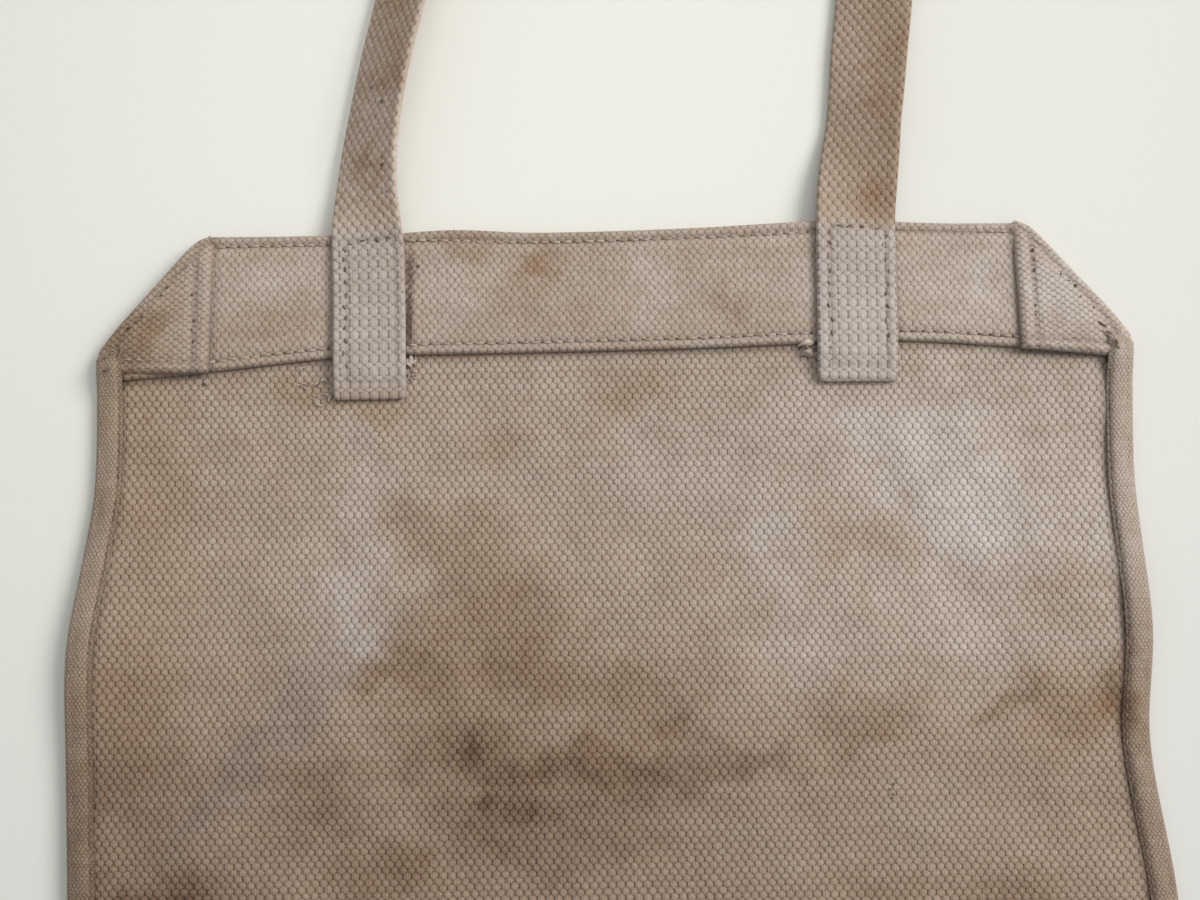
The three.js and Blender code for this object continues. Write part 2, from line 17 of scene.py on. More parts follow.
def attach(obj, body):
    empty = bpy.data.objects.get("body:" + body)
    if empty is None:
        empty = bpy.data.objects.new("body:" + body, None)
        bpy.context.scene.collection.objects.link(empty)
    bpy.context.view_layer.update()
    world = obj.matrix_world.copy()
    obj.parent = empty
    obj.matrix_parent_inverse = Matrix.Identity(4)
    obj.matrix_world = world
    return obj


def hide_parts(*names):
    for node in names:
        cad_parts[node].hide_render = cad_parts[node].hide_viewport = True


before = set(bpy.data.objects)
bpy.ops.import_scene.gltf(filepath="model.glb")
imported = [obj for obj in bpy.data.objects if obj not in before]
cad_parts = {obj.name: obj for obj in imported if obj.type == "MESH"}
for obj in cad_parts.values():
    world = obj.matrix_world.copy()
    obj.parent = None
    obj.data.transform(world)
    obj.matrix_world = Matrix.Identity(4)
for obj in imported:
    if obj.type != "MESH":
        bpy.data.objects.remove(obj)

Array = np.ndarray
Settings = dict[Any, Any] | None
Point = tuple[float, float, float]
Piece = bpy.types.Object
Material = bpy.types.Material
Socket = bpy.types.NodeSocket
log = logging.getLogger("rucksack")

MILLIMETRE = 0.001
UP = np.array([[0.0, 0.0, 1.0]])
SQUARE = np.radians([45, 135, 225, 315])  # the corners of a square tube
MOUTH_Y = -116.0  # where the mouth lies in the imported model's frame
BODY = "root"


class Side(Enum):
    """The two sides of the open flap, as the sign of x."""

    LEFT = -1
    RIGHT = 1

    @property
    def word(self) -> str:
        """The side's name in piece names."""
        return self.name.lower()


class Slot(Enum):
    """The record's material slots."""

    WEBBING = "webbing"
    TAPE = "binding_tape"
    STRAP = "strap_webbing"
    BRASS = "aged_brass"


class EdgeRow(NamedTuple):
    """The flap's finished side edges at a place along it."""

    y: float
    left: float
    right: float


class HemRow(NamedTuple):
    """The hem's folded top edge and sewn lower edge at a place across the flap."""

    x: float
    top: float
    lower: float


class FoldRow(NamedTuple):
    """A soft ridge: its middle, heading in degrees, reach, breadth and rise."""

    x: float
    y: float
    heading: float
    length: float
    width: float
    rise: float


class RouteRow(NamedTuple):
    """A strap's middle line, and its roll in degrees with the right edge up."""

    y: float
    x: float
    z: float
    roll: float


class SectionRow(NamedTuple):
    """The pack at a place along it: height at the sides, sag of the middle, bow of the sides."""

    y: float
    rise: float
    sag: float
    bow: float


class BlotRow(NamedTuple):
    """A soft patch: middle, half widths, turn in degrees, lighter or darker, browner or greyer."""

    x: float
    y: float
    rx: float
    ry: float
    turn: float
    tone: float
    warm: float


class SpeckRow(NamedTuple):
    """A small mark on the flap: middle, radius and strength."""

    x: float
    y: float
    radius: float
    strength: float


class WaveRow(NamedTuple):
    """A slow wave over the plan: height, radians a millimetre across and along, and its start in radians."""

    height: float
    across: float
    along: float
    start: float


def table(kind: type, *rows: Sequence[float]) -> tuple:
    """A table of rows of one kind."""
    return tuple(kind(*row) for row in rows)


FLAP_EDGES = table(
    EdgeRow,
    (-12, -156, 156),
    (0, -157, 157),
    (45, -167, 168),
    (110, -169, 171),
    (157, -170.7, 168.7),
    (200, -172.8, 164),
    (233, -173.6, 166.4),
    (262, -169.9, 165.7),
    (285, -167.2, 165.3),
    (327, -167.8, 167.8),
)
HEM_EDGES = table(
    HemRow,
    (-160, 368, 320),
    (-131, 367.8, 322.4),
    (-92, 368, 326.2),
    (-64, 369, 326.9),
    (-30, 367.6, 327),
    (30, 368.2, 327.6),
    (90, 370, 328.8),
    (131, 368.4, 326),
    (160, 368, 322.6),
)
FLAP_FOLDS = table(
    FoldRow,
    (-106, 205, 42, 62, 26, 7),
    (-172, 232, 90, 34, 30, 3),
    (164, 240, 90, 28, 30, 4),
    (40, 96, 6, 110, 34, 6),
    (-90, 70, 160, 60, 26, 4),
)
PACK_SECTIONS = table(
    SectionRow,
    (-381, 101, 3, 0),
    (-345, 100, 6, 3),
    (-260, 97, 13, 7),
    (-150, 94, 19, 9),
    (-60, 90, 24, 7),
    (0, 87, 28, 4),
)
FRONT_FOLDS = table(
    FoldRow,
    (-88, -62, 64, 62, 26, -6),
    (104, -88, 118, 58, 28, -7),
    (12, -175, 12, 90, 30, 4),
)
HEM_ROW = 3  # the row of a strap's route that lies on the hem
STRAP_ROUTES = {
    Side.LEFT: table(
        RouteRow,
        (312.3, -79.1, 4.8, 0),
        (316, -79.1, 4.8, 0),
        (324.5, -79.1, 6.8, 0),
        (345, -79.3, 6.9, 0),
        (362, -79.8, 7.0, 1),
        (370, -80.2, 7.9, 12),
        (380, -80.2, 8.6, 25),
        (395, -79.2, 9.2, 34),
        (413, -76.6, 9.6, 38),
        (430, -73.3, 9.6, 38),
        (452, -68.2, 9.2, 36),
        (490, -60.0, 6.1, 20),
        (532, -54, 3.1, 6),
        (575, -50.5, 1.7, 0),
        (618, -49, 1.6, 0),
    ),
    Side.RIGHT: table(
        RouteRow,
        (315.5, 77.9, 4.8, 0),
        (319, 78, 4.8, 0),
        (326.5, 78.2, 6.8, 0),
        (345, 78.6, 6.8, 0),
        (372, 79.5, 6.8, 0),
        (384, 80.7, 7.4, 10),
        (401, 83.1, 7.6, 26),
        (412, 84.6, 7.4, 25),
        (428, 86.5, 6.4, 20),
        (446, 88.9, 6.2, 19),
        (490, 93, 3.9, 9),
        (532, 95.5, 2.2, 2),
        (575, 96, 1.6, 0),
        (618, 95, 1.6, 0),
    ),
}

# The flap's patches, from the hem down: stains and wear, and two rows of painted shade along a fold
BLOTS = table(
    BlotRow,
    (-26, 355, 7, 7, 0, -0.35, 0.9),
    (-50, 364, 12, 5, 0, -0.3, 0.5),
    (-30, 342, 11, 6, 0, -0.2, 0.1),
    (-8, 338, 8, 7, 0, -0.15, 0.1),
    (36, 341, 7, 6, 0, -0.3, -0.1),
    (-110, 338, 12, 7, 0, -0.15, 0.1),
    (-110, 353, 16, 8, 0, 0.38, -0.3),
    (-55, 350, 7, 12, 0, 0.22, -0.3),
    (12, 350, 7, 14, 0, 0.22, -0.2),
    (62, 345, 8, 14, 0, 0.2, -0.1),
    (121, 352, 6, 14, 0, 0.42, -0.3),
    (95, 362, 8, 6, 0, -0.2, 0.5),
    (-153, 334, 13, 9, 35, -0.55, 1.0),
    (-136, 342, 7, 16, 0, 0.1, -0.5),
    (145, 344, 12, 12, 0, 0.35, -0.5),
    (5, 314, 11, 9, 0, -0.3, 0.5),
    (-38, 298, 9, 9, 0, -0.22, 0.3),
    (-80, 309, 15, 5, 0, -0.3, 0.7),
    (-99, 317, 11, 4, 0, -0.3, 0.5),
    (-57, 270, 20, 11, 0, -0.25, 0.3),
    (-150, 290, 14, 40, 8, -0.2, 0.6),
    (-82, 285, 6, 30, 4, 0.3, -0.3),
    (-86, 246, 12, 20, -10, 0.4, -0.5),
    (105, 282, 24, 20, -25, 0.6, -0.6),
    (80, 300, 34, 9, 0, 0.35, -0.3),
    (118, 265, 14, 12, 0, 0.35, -0.4),
    (20, 288, 22, 14, 0, 0.2, -0.4),
    (48, 262, 8, 30, 20, 0.35, -0.4),
    (62, 226, 20, 13, 0, 0.3, -0.2),
    (150, 262, 10, 22, 0, 0.32, -0.1),
    (110, 234, 18, 12, 0, 0.22, -0.2),
    (78, 266, 20, 8, -15, -0.25, 0.3),
    (140, 246, 16, 10, 0, -0.12, 0.5),
    (-45, 232, 32, 22, 20, -0.45, 0.5),
    (-40, 256, 18, 12, 0, -0.2, 0.4),
    (-70, 226, 11, 7, 0, -0.35, 0.2),
    (-25, 222, 20, 10, 0, -0.25, 0.4),
    (6, 215, 18, 12, 0, -0.3, 0.4),
    (16, 206, 7, 6, 0, -0.3, 0.5),
    (-40, 190, 16, 17, 0, -0.45, 0.4),
    (-43, 189, 5, 7, 0, -0.22, 0.1),
    (-29, 180, 5, 3.5, 0, -0.22, 0.0),
    (-52, 201, 18, 9, 0, -0.35, 0.4),
    (-12, 195, 19, 9, 0, -0.55, 0.8),
    (12, 190, 13, 9, 0, -0.4, 0.2),
    (40, 196, 16, 5, -8, -0.4, -0.2),
    (76, 208, 19, 9, 0, -0.35, 0.4),
    (121, 212, 10, 4, 25, -0.45, 0.2),
    (142, 210, 17, 12, 10, -0.35, 1.4),
    (156, 214, 5, 14, 0, -0.5, 1.0),
    # Painted shade: a greyer, darker band on the diagonal fold's side away from the light
    (-106, 208, 52, 8, 48, -0.16, -1.5),
    (-70, 238, 22, 5, 40, -0.12, -0.5),
    (-152, 212, 14, 30, 0, -0.2, 0.7),
    (-140, 153, 20, 13, 0, -0.6, 0.2),
    (-72, 164, 15, 11, 0, -0.45, 0.5),
    (-93, 186, 13, 15, 0, -0.3, 0.1),
    (-22, 172, 30, 13, 0, -0.3, 0.2),
    (80, 154, 17, 9, 0, -0.3, 0.2),
    (116, 156, 17, 9, 0, -0.35, 0.3),
    (42, 170, 22, 12, 0, 0.12, -0.4),
    (92, 180, 20, 14, 0, 0.15, -0.3),
    (30, 90, 60, 30, 10, -0.3, 0.3),
    (-100, 60, 40, 30, 0, 0.2, 0.2),
    (110, 60, 36, 26, 0, 0.15, -0.3),
)
RUST_SPECKS = table(
    SpeckRow,
    (-25.5, 356, 4.2, 0.75),
    (-150, 337, 5, 0.32),
    (-154, 331, 3.5, 0.28),
    (-147, 331, 3, 0.22),
    (-151.4, 306.8, 2.6, 0.6),
    (-148.3, 311, 1.6, 0.55),
    (148, 210, 9, 0.45),
)
# Places across a strap from its middle, and along the flap
STRAP_RUST = {
    Side.LEFT: table(SpeckRow, (1, 389, 7, 0.4), (3, 420, 9, 0.3), (-2, 448, 8, 0.25)),
    Side.RIGHT: table(SpeckRow, (5, 379, 5.5, 0.22), (5, 412, 9, 0.25)),
}
DARK_SPECKS = table(
    SpeckRow,
    (-133, 318.5, 0.8, 1.0),
    (83.4, 188.0, 0.55, 0.9),
    (82.3, 186.4, 0.5, 0.9),
    (83.2, 184.8, 0.5, 0.9),
    (82.6, 183.6, 0.45, 0.8),
    (-63.8, 356.3, 0.75, 1.0),
    (-74.6, 388.5, 0.8, 0.8),
    (-73.0, 379.5, 0.6, 0.6),
    (-75.0, 410.5, 1.0, 0.9),
    (-78.6, 417.0, 0.7, 0.7),
    (-174, 216, 1.3, 0.7),
)

# The cloth's fine unevenness, about a third of a millimetre high
RIPPLE = table(
    WaveRow,
    (0.16, 0.11, 0.05, 0.3),
    (0.16, -0.06, 0.13, 1.7),
    (0.16, 0.19, -0.12, 2.9),
    (0.16, 0.05, 0.21, 4.1),
    (0.16, 0.27, 0.16, 5.3),
)
# How far a patch's outline strays across and along, in millimetres
STRAY_ACROSS = table(WaveRow, (2.6, 0.08, 0.21, 0), (1.8, 0.37, -0.29, 1), (1.0, 0.3, 0.8, 0))
STRAY_ALONG = table(WaveRow, (2.6, 0.19, -0.1, 2), (1.8, 0.31, 0.41, 0), (1.0, 0.7, -0.4, 0))
# The body's slow changes of colour
BODY_TONE = table(WaveRow, (0.12, 0.021, 0, 0.4), (0.12, 0, 0.017, 1.1), (0.1, 0.03, 0.03, 0))
BODY_WARMTH = table(WaveRow, (0.2, 0.013, -0.02, 0))
# How the body's soft top sways sideways, nods along and sinks, and the waves of its lip, in millimetres
SWAY = table(WaveRow, (3.4, 0, 0.017, 0.9), (1.5, 0, 0.03, 2.4))
NOD = table(WaveRow, (2.6, 0.019, 0, 0.4))
SINK = table(WaveRow, (2.2, 0.016, -0.011, 1.9), (1.2, 0.024, 0.02, 0))
LIP = table(WaveRow, (3.6, 0.036, 0, 0.8))


def smooth(low: float, high: float, at: Array) -> Array:
    """A soft step from 0 at low to 1 at high."""
    share = np.clip((np.asarray(at, float) - low) / (high - low), 0.0, 1.0)
    return share * share * (3.0 - 2.0 * share)


def blend(start: Array | float, end: Array | float, share: Array | float) -> Array:
    """The straight way from start to end at a share of it."""
    return start + (end - start) * share


def bell(off: Array, width: float) -> Array:
    """A bell curve of the distance from its middle: one there, and almost nothing at twice its width."""
    return np.exp(-((off / width) ** 2))


def joined(*parts: Array | float) -> Array:
    """Coordinates put together as points, each part spread over the shape that they share."""
    return np.stack(np.broadcast_arrays(*parts), -1)


def waves(rows: Sequence[WaveRow], x: Array, y: Array) -> Array:
    """The sum of a table's waves at points of the plan."""
    return sum(row.height * np.sin(row.across * x + row.along * y + row.start) for row in rows)


def through(rows: Sequence[NamedTuple], column: str, at: Array) -> Array:
    """Reads a column of a table on a smooth cubic through its rows.

    Each span is the straight line between two rows plus a cubic that gives it, at each end, the slope
    between the rows on either side.

    Args:
        rows: the table, in order of its first column.
        column: the column to read.
        at: places along the first column.

    Returns:
        The values there, with the ends held beyond the table.
    """
    keys = np.array([row[0] for row in rows], float)
    values = np.array([getattr(row, column) for row in rows], float)
    place = np.clip(np.asarray(at, float), keys[0], keys[-1])
    span_of = np.clip(np.searchsorted(keys, place, side="right") - 1, 0, len(keys) - 2)
    padded_keys = np.concatenate([keys[:1], keys, keys[-1:]])
    padded_values = np.concatenate([values[:1], values, values[-1:]])
    slopes = (padded_values[2:] - padded_values[:-2]) / (padded_keys[2:] - padded_keys[:-2])
    span = keys[span_of + 1] - keys[span_of]
    rise = values[span_of + 1] - values[span_of]
    share = (place - keys[span_of]) / span
    leave = slopes[span_of] * span - rise
    arrive = slopes[span_of + 1] * span - rise
    lean = share * (1 - share) * ((1 - share) * leave - share * arrive)
    return values[span_of] + share * rise + lean


def turned(dx: Array, dy: Array, degrees: float) -> tuple[Array, Array]:
    """Offsets read along and across a heading."""
    turn = np.radians(degrees)
    return dx * np.cos(turn) + dy * np.sin(turn), dy * np.cos(turn) - dx * np.sin(turn)


def fold_height(folds: Sequence[FoldRow], x: Array, y: Array) -> Array:
    """The sum of a table's ridges: each is a bell across its heading and a longer bell along it.

    Args:
        folds: the table.
        x: places across.
        y: places along.

    Returns:
        The height there.
    """
    height = np.zeros(np.broadcast(x, y).shape)
    for fold in folds:
        lengthways, crossways = turned(x - fold.x, y - fold.y, fold.heading)
        height += fold.rise * bell(lengthways, fold.length) * bell(crossways, fold.width)
    return height


class Marks(NamedTuple):
    """What the cloth shows at each point: tone, warmth, rust, and painted shade at seams and raised edges.
    """

    tone: Array
    warm: Array
    rust: Array
    seam: Array


def blotted(tone: Array, warm: Array, blots: Sequence[BlotRow], x: Array, y: Array) -> tuple[Array, Array]:
    """Adds a table's patches to a cloth's tone and warmth: a bell each, flatter and steeper for a dark one.

    Args:
        tone: lighter or darker, at each point.
        warm: browner or greyer.
        blots: the table.
        x: places across the cloth.
        y: places along it.

    Returns:
        The tone and warmth with the patches.
    """
    across_at, along_at = x + waves(STRAY_ACROSS, x, y), y + waves(STRAY_ALONG, x, y)
    for blot in blots:
        along, across = turned(across_at - blot.x, along_at - blot.y, blot.turn)
        far = (along / blot.rx) ** 2 + (across / blot.ry) ** 2
        strength, steepness = (0.7, 1.0) if blot.tone > 0 else (0.95, 1.6)
        patch = np.exp(-(far**steepness))
        tone = tone + strength * blot.tone * patch
        warm = warm + blot.warm * patch
    return tone, warm


def specked(specks: Sequence[SpeckRow], x: Array, y: Array) -> Array:
    """The sum of a table's small marks: a round bell each."""
    return sum(speck.strength * bell(np.hypot(x - speck.x, y - speck.y), speck.radius) for speck in specks)


def flap_marks(x: Array, y: Array) -> Marks:
    """The flap's patches at points on it.

    Tone and warmth are a slow change from the hem to the mouth plus a bell for each patch of the table.

    Args:
        x: places across the flap.
        y: places along it.

    Returns:
        The marks, with no painted seam shade.
    """
    tone = 0.05 - 0.45 * (1 - smooth(176, 262, y)) + 0.2 * smooth(10, 110, x) - 0.12 * smooth(90, 168, -x)
    warm = 0.15 + 0.25 * smooth(60, 168, -x) + np.zeros_like(tone)
    tone, warm = blotted(tone, warm, BLOTS, x, y)
    return Marks(tone, warm, specked(RUST_SPECKS, x, y), np.zeros_like(tone))


def pack_marks(x: Array, y: Array) -> Marks:
    """The body's slow changes of colour: the sum of broad waves, a little darker than the flap."""
    tone = waves(BODY_TONE, x, y) - 0.15
    return Marks(tone, 0.3 + waves(BODY_WARMTH, x, y), np.zeros_like(tone), np.zeros_like(tone))


def unit(vectors: Array) -> Array:
    """Vectors at length one."""
    return vectors / np.maximum(np.linalg.norm(vectors, axis=-1, keepdims=True), 1e-12)


def grid_normals(points: Array) -> Array:
    """Unit normals of a grid of points: the cross product of its steps along a row and along a column."""
    return unit(np.cross(np.gradient(points, axis=1), np.gradient(points, axis=0)))


def edged(count: int, length: float, radius: float) -> Array:
    """Places from 0 to length, even in the middle and close together near both rounded ends."""
    near = radius * np.array([0.0, 0.08, 0.3, 0.65, 1.0])
    middle = np.linspace(radius, length - radius, count)[1:-1]
    return np.concatenate([near, middle, (length - near)[::-1]])


def rounding(distance: Array, radius: float) -> Array:
    """The share of a sheet's full thickness at a distance from its edge, as a half circle."""
    inset = 1.0 - np.clip(distance / radius, 0.0, 1.0)
    return np.maximum(np.sqrt(1.0 - inset**2), 0.12)


def grid_quads(rows: int, columns: int, start: int = 0) -> Array:
    """The faces of a grid of points, four corners each, looking along its normals."""
    corner = start + np.arange(rows * columns).reshape(rows, columns)
    quads = joined(corner[:-1, :-1], corner[:-1, 1:], corner[1:, 1:], corner[1:, :-1])
    return quads.reshape(-1, 4)


def rim_quads(rows: int, columns: int) -> Array:
    """The faces that close two grids, one behind the other, round their edges.

    Args:
        rows: of each grid.
        columns: of each grid.

    Returns:
        The four corners of each face.
    """
    front = np.arange(rows * columns).reshape(rows, columns)
    loop = np.concatenate([front[0, :-1], front[:-1, -1], front[-1, :0:-1], front[:0:-1, 0]])
    following = np.roll(loop, -1)
    behind = rows * columns
    return joined(loop, loop + behind, following + behind, following)


def tube_quads(rings: int, count: int) -> Array:
    """The faces of square tubes: four round each span, and one at each end.

    Args:
        rings: of four points along a tube, turning right-handed about its run.
        count: how many tubes.

    Returns:
        The four corners of each face, tube after tube.
    """
    ring = np.arange(rings)[:, None] * 4
    around = np.arange(4)[None, :]
    following = (around + 1) % 4
    low, high = ring[:-1], ring[1:]
    sides = joined(low + around, low + following, high + following, high + around).reshape(-1, 4)
    caps = np.array([[3, 2, 1, 0], np.arange(4) + 4 * (rings - 1)])
    one = np.concatenate([sides, caps])
    return (one[None] + np.arange(count)[:, None, None] * 4 * rings).reshape(-1, 4)


def to_frame(points: Array) -> Array:
    """Millimetres from the mouth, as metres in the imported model's frame."""
    return (points + np.array([0.0, MOUTH_Y, 0.0])) * MILLIMETRE


def put_mesh(name: str, points: Array, quads: Array, attributes: dict[str, Array]) -> Piece:
    """Makes a mesh object at the origin.

    Args:
        name: the piece's name.
        points: its points in millimetres from the mouth, one a row.
        quads: the four corners of each face.
        attributes: a value or a vector for each point, by name.

    Returns:
        The new object, smooth shaded and linked to the scene.
    """
    mesh = bpy.data.meshes.new(name)
    mesh.from_pydata(to_frame(points).tolist(), [], quads.tolist())
    mesh.shade_smooth()
    for key, values in attributes.items():
        kind, entry = ("FLOAT", "value") if values.ndim == 1 else ("FLOAT_VECTOR", "vector")
        attribute = mesh.attributes.new(key, kind, "POINT")
        attribute.data.foreach_set(entry, values.astype(np.float32).ravel())
    mesh.validate()
    piece = bpy.data.objects.new(name, mesh)
    bpy.context.scene.collection.objects.link(piece)
    return piece


@dataclass
class Sheet:
    """A piece of cloth: two skins on one grid of points, closed round the edges.

    Attributes:
        upper: the skin that the grid's normals look out of, in millimetres.
        lower: the skin behind it.
        cloth: the weave's own coordinates, in millimetres across and along.
        marks: what the cloth shows at each point.
        uneven: how much every other row of nubs is longer than the rows between.
    """

    upper: Array
    lower: Array
    cloth: Array
    marks: Marks
    uneven: Array | float = 0.04

    @classmethod
    def walled(cls, skin: Array, wall: float, edge: Array, cloth: Array, marks: Marks) -> "Sheet":
        """A sheet behind an outer skin, thinner towards its free edges.

        Args:
            skin: the outer skin, as a grid of points.
            wall: the full thickness.
            edge: the share of the thickness that is left at each point.
            cloth: the weave's coordinates.
            marks: what the cloth shows.

        Returns:
            The sheet.
        """
        normals = grid_normals(skin)
        share = np.broadcast_to(edge, skin.shape[:2])[..., None]
        middle = skin - normals * wall / 2
        return cls(middle + normals * share * wall / 2, middle - normals * share * wall / 2, cloth, marks)

    def build(self, name: str) -> Piece:
        """Puts the sheet into the scene.

        Args:
            name: the piece's name.

        Returns:
            Its object.
        """
        rows, columns = self.upper.shape[:2]
        points = np.concatenate([self.upper.reshape(-1, 3), self.lower.reshape(-1, 3)])
        behind = grid_quads(rows, columns, rows * columns)[:, ::-1]
        quads = np.concatenate([grid_quads(rows, columns), behind, rim_quads(rows, columns)])
        uneven = np.broadcast_to(self.uneven, (rows, columns))[..., None]
        flat = np.concatenate([self.cloth, uneven], -1).reshape(-1, 3)
        attributes = {"cloth": np.tile(flat, (2, 1))}
        for key, values in self.marks._asdict().items():
            attributes[key] = np.tile(np.broadcast_to(values, (rows, columns)).ravel(), 2)
        return put_mesh(name, points, quads, attributes)


def nub_height(across: Array, along: Array, pitch: float, row: float, uneven: Array | float) -> Array:
    """The weave's relief: a dome on each point of a staggered lattice, and the higher where two meet.

    Where the weave is uneven, the nubs of every other row are longer, and those between shorter and lower.

    Args:
        across: places across the weave, in millimetres.
        along: places along it.
        pitch: between nubs of one row.
        row: between rows.
        uneven: how uneven it is.

    Returns:
        The height, from 0 to 1.
    """
    reach = pitch / (2.0 * row)

    def dome(shift: float, length: Array | float) -> Array:
        """One half of the lattice.

        Args:
            shift: of the lattice, in nubs.
            length: of a nub.

        Returns:
            The height, 1 at its top.
        """
        u = across / pitch + shift
        v = along / (2.0 * row) + shift
        du = (u - np.floor(u) - 0.5) * 2.0
        dv = (v - np.floor(v) - 0.5) * 2.0 / length
        return 1.0 - du**2 - dv**2

    longer = dome(0.0, reach * (1.0 + 0.5 * uneven))
    shorter = dome(0.5, reach * (1.0 - 0.7 * uneven)) - 0.3 * uneven
    return np.clip(np.maximum(longer, shorter), 0.0, 1.0)


def through_math(operation: str, swapped: bool = False) -> Callable[..., "Value"]:
    """Makes a method that puts a Value and its arguments through a Math node.

    Args:
        operation: the node's operation.
        swapped: whether the arguments come first.

    Returns:
        The method.
    """

    def method(self: "Value", *others: "Value | float") -> "Value":
        """The operation's result."""
        return self.shader.math(operation, *((*others, self) if swapped else (self, *others)))

    return method


class Value:
    """A number in a shader. Arithmetic on it adds Math nodes."""

    def __init__(self, shader: "Shader", socket: Socket) -> None:
        """Wraps an output socket of a shader's node."""
        self.shader = shader
        self.socket = socket

    __add__ = __radd__ = through_math("ADD")
    __sub__ = through_math("SUBTRACT")
    __rsub__ = through_math("SUBTRACT", swapped=True)
    __mul__ = __rmul__ = through_math("MULTIPLY")
    __truediv__ = through_math("DIVIDE")
    __pow__ = through_math("POWER")
    __lt__ = through_math("LESS_THAN")
    fraction = through_math("FRACT")
    whole = through_math("FLOOR")
    least = through_math("MINIMUM")
    most = through_math("MAXIMUM")

    def step(self, low: float, high: float) -> "Value":
        """A soft step from 0 at low to 1 at high.

        Args:
            low: where it starts.
            high: where it ends.

        Returns:
            The step.
        """
        node = self.shader.node(
            "ShaderNodeMapRange",
            {"interpolation_type": "SMOOTHSTEP"},
            {"Value": self, "From Min": low, "From Max": high},
        )
        return Value(self.shader, node.outputs["Result"])


class Shader:
    """A material's nodes, made one at a time."""

    def __init__(self, name: str) -> None:
        """Starts an empty material.

        Args:
            name: the material's name.
        """
        self.material = bpy.data.materials.new(name)
        self.material.use_nodes = True
        self.tree = self.material.node_tree
        self.tree.nodes.clear()

    def node(self, kind: str, settings: Settings = None, inputs: Settings = None) -> bpy.types.Node:
        """Adds a node.

        Args:
            kind: the node's type.
            settings: its properties, set first; "stops" gives a ramp's places and colours.
            inputs: a value, Value or output socket for each input, by name or number.

        Returns:
            The node.
        """
        made = self.tree.nodes.new(kind)
        for key, setting in (settings or {}).items():
            if key == "stops":
                self._stops(made.color_ramp, setting)
            else:
                setattr(made, key, setting)
        for key, given in (inputs or {}).items():
            source = given.socket if isinstance(given, Value) else given
            if isinstance(source, Socket):
                self.tree.links.new(source, made.inputs[key])
            else:
                made.inputs[key].default_value = source
        return made

    @staticmethod
    def _stops(ramp: bpy.types.ColorRamp, stops: Sequence[tuple[float, Sequence[float]]]) -> None:
        """Sets a ramp's places and colours.

        Args:
            ramp: of a ramp node.
            stops: a place and a colour each.
        """
        while len(ramp.elements) < len(stops):
            ramp.elements.new(1.0)
        for element, (place, colour) in zip(ramp.elements, stops):
            element.position = place
            element.color = (*colour, 1.0)

    def math(self, operation: str, *numbers: Value | float) -> Value:
        """A Math node's result."""
        made = self.node("ShaderNodeMath", {"operation": operation}, dict(enumerate(numbers)))
        return Value(self, made.outputs[0])

    def attribute(self, name: str) -> Value:
        """A number that the piece carries at its points."""
        made = self.node("ShaderNodeAttribute", {"attribute_name": name})
        return Value(self, made.outputs["Fac"])

    def cloth(self) -> tuple[Value, Value, Value]:
        """The weave's coordinates, in millimetres across and along, and how uneven it is."""
        made = self.node("ShaderNodeAttribute", {"attribute_name": "cloth"})
        split = self.node("ShaderNodeSeparateXYZ", None, {"Vector": made.outputs["Vector"]})
        return tuple(Value(self, split.outputs[axis]) for axis in "XYZ")

    def place(self) -> Socket:
        """Object coordinates, in metres."""
        return self.node("ShaderNodeTexCoord").outputs["Object"]

    def noise(self, scale: float, detail: float = 2.0, roughness: float = 0.5) -> Value:
        """Noise about nothing, from about -0.5 to 0.5, on Object coordinates."""
        inputs = {"Vector": self.place(), "Scale": scale, "Detail": detail, "Roughness": roughness}
        return Value(self, self.node("ShaderNodeTexNoise", None, inputs).outputs[0]) - 0.5

    def noise_pair(self, scale: float) -> tuple[Value, Value]:
        """Two unlike noises about nothing, on Object coordinates."""
        made = self.node("ShaderNodeTexNoise", None, {"Vector": self.place(), "Scale": scale, "Detail": 1.0})
        split = self.node("ShaderNodeSeparateColor", None, {0: made.outputs["Color"]})
        return Value(self, split.outputs[0]) - 0.5, Value(self, split.outputs[1]) - 0.5

    def chance(self, x: Value | float, y: Value | float, z: float) -> Value:
        """A random number for each whole place, from 0 to 1."""
        place = self.node("ShaderNodeCombineXYZ", None, {"X": x, "Y": y, "Z": z}).outputs[0]
        made = self.node("ShaderNodeTexWhiteNoise", {"noise_dimensions": "3D"}, {"Vector": place})
        return Value(self, made.outputs["Value"])

    def spots(self, rows: Sequence[SpeckRow]) -> Value:
        """Small dark spots at set places of the plan, each from 0 to its strength.

        Args:
            rows: the table of spots.

        Returns:
            The sum of the spots.
        """
        flat = {0: self.place(), 1: (1.0, 1.0, 0.0)}
        plan = self.node("ShaderNodeVectorMath", {"operation": "MULTIPLY"}, flat).outputs[0]
        total: Value | float = 0.0
        for row in rows:
            middle = to_frame(np.array([row.x, row.y, 0.0])) * (1.0, 1.0, 0.0)
            size = row.radius * MILLIMETRE
            total = total + (1.0 - self.far(plan, middle).step(0.3 * size, 1.4 * size)) * row.strength
        return total

    def far(self, point: Socket, place: Sequence[float]) -> Value:
        """How far a point lies from a place."""
        made = self.node("ShaderNodeVectorMath", {"operation": "DISTANCE"}, {0: point, 1: tuple(place)})
        return Value(self, made.outputs["Value"])

    def mix(self, factor: Value | float, first: Any, second: Any, way: str = "MIX") -> Socket:
        """Two colours mixed."""
        settings = {"data_type": "RGBA", "blend_type": way, "clamp_factor": True}
        return self.node("ShaderNodeMix", settings, {0: factor, 6: first, 7: second}).outputs[2]

    def bump(self, height: Value, strength: float, distance: float) -> Socket:
        """The surface's direction, tilted by a height whose unit is a distance in metres."""
        inputs = {"Strength": strength, "Distance": distance, "Height": height}
        return self.node("ShaderNodeBump", None, inputs).outputs["Normal"]

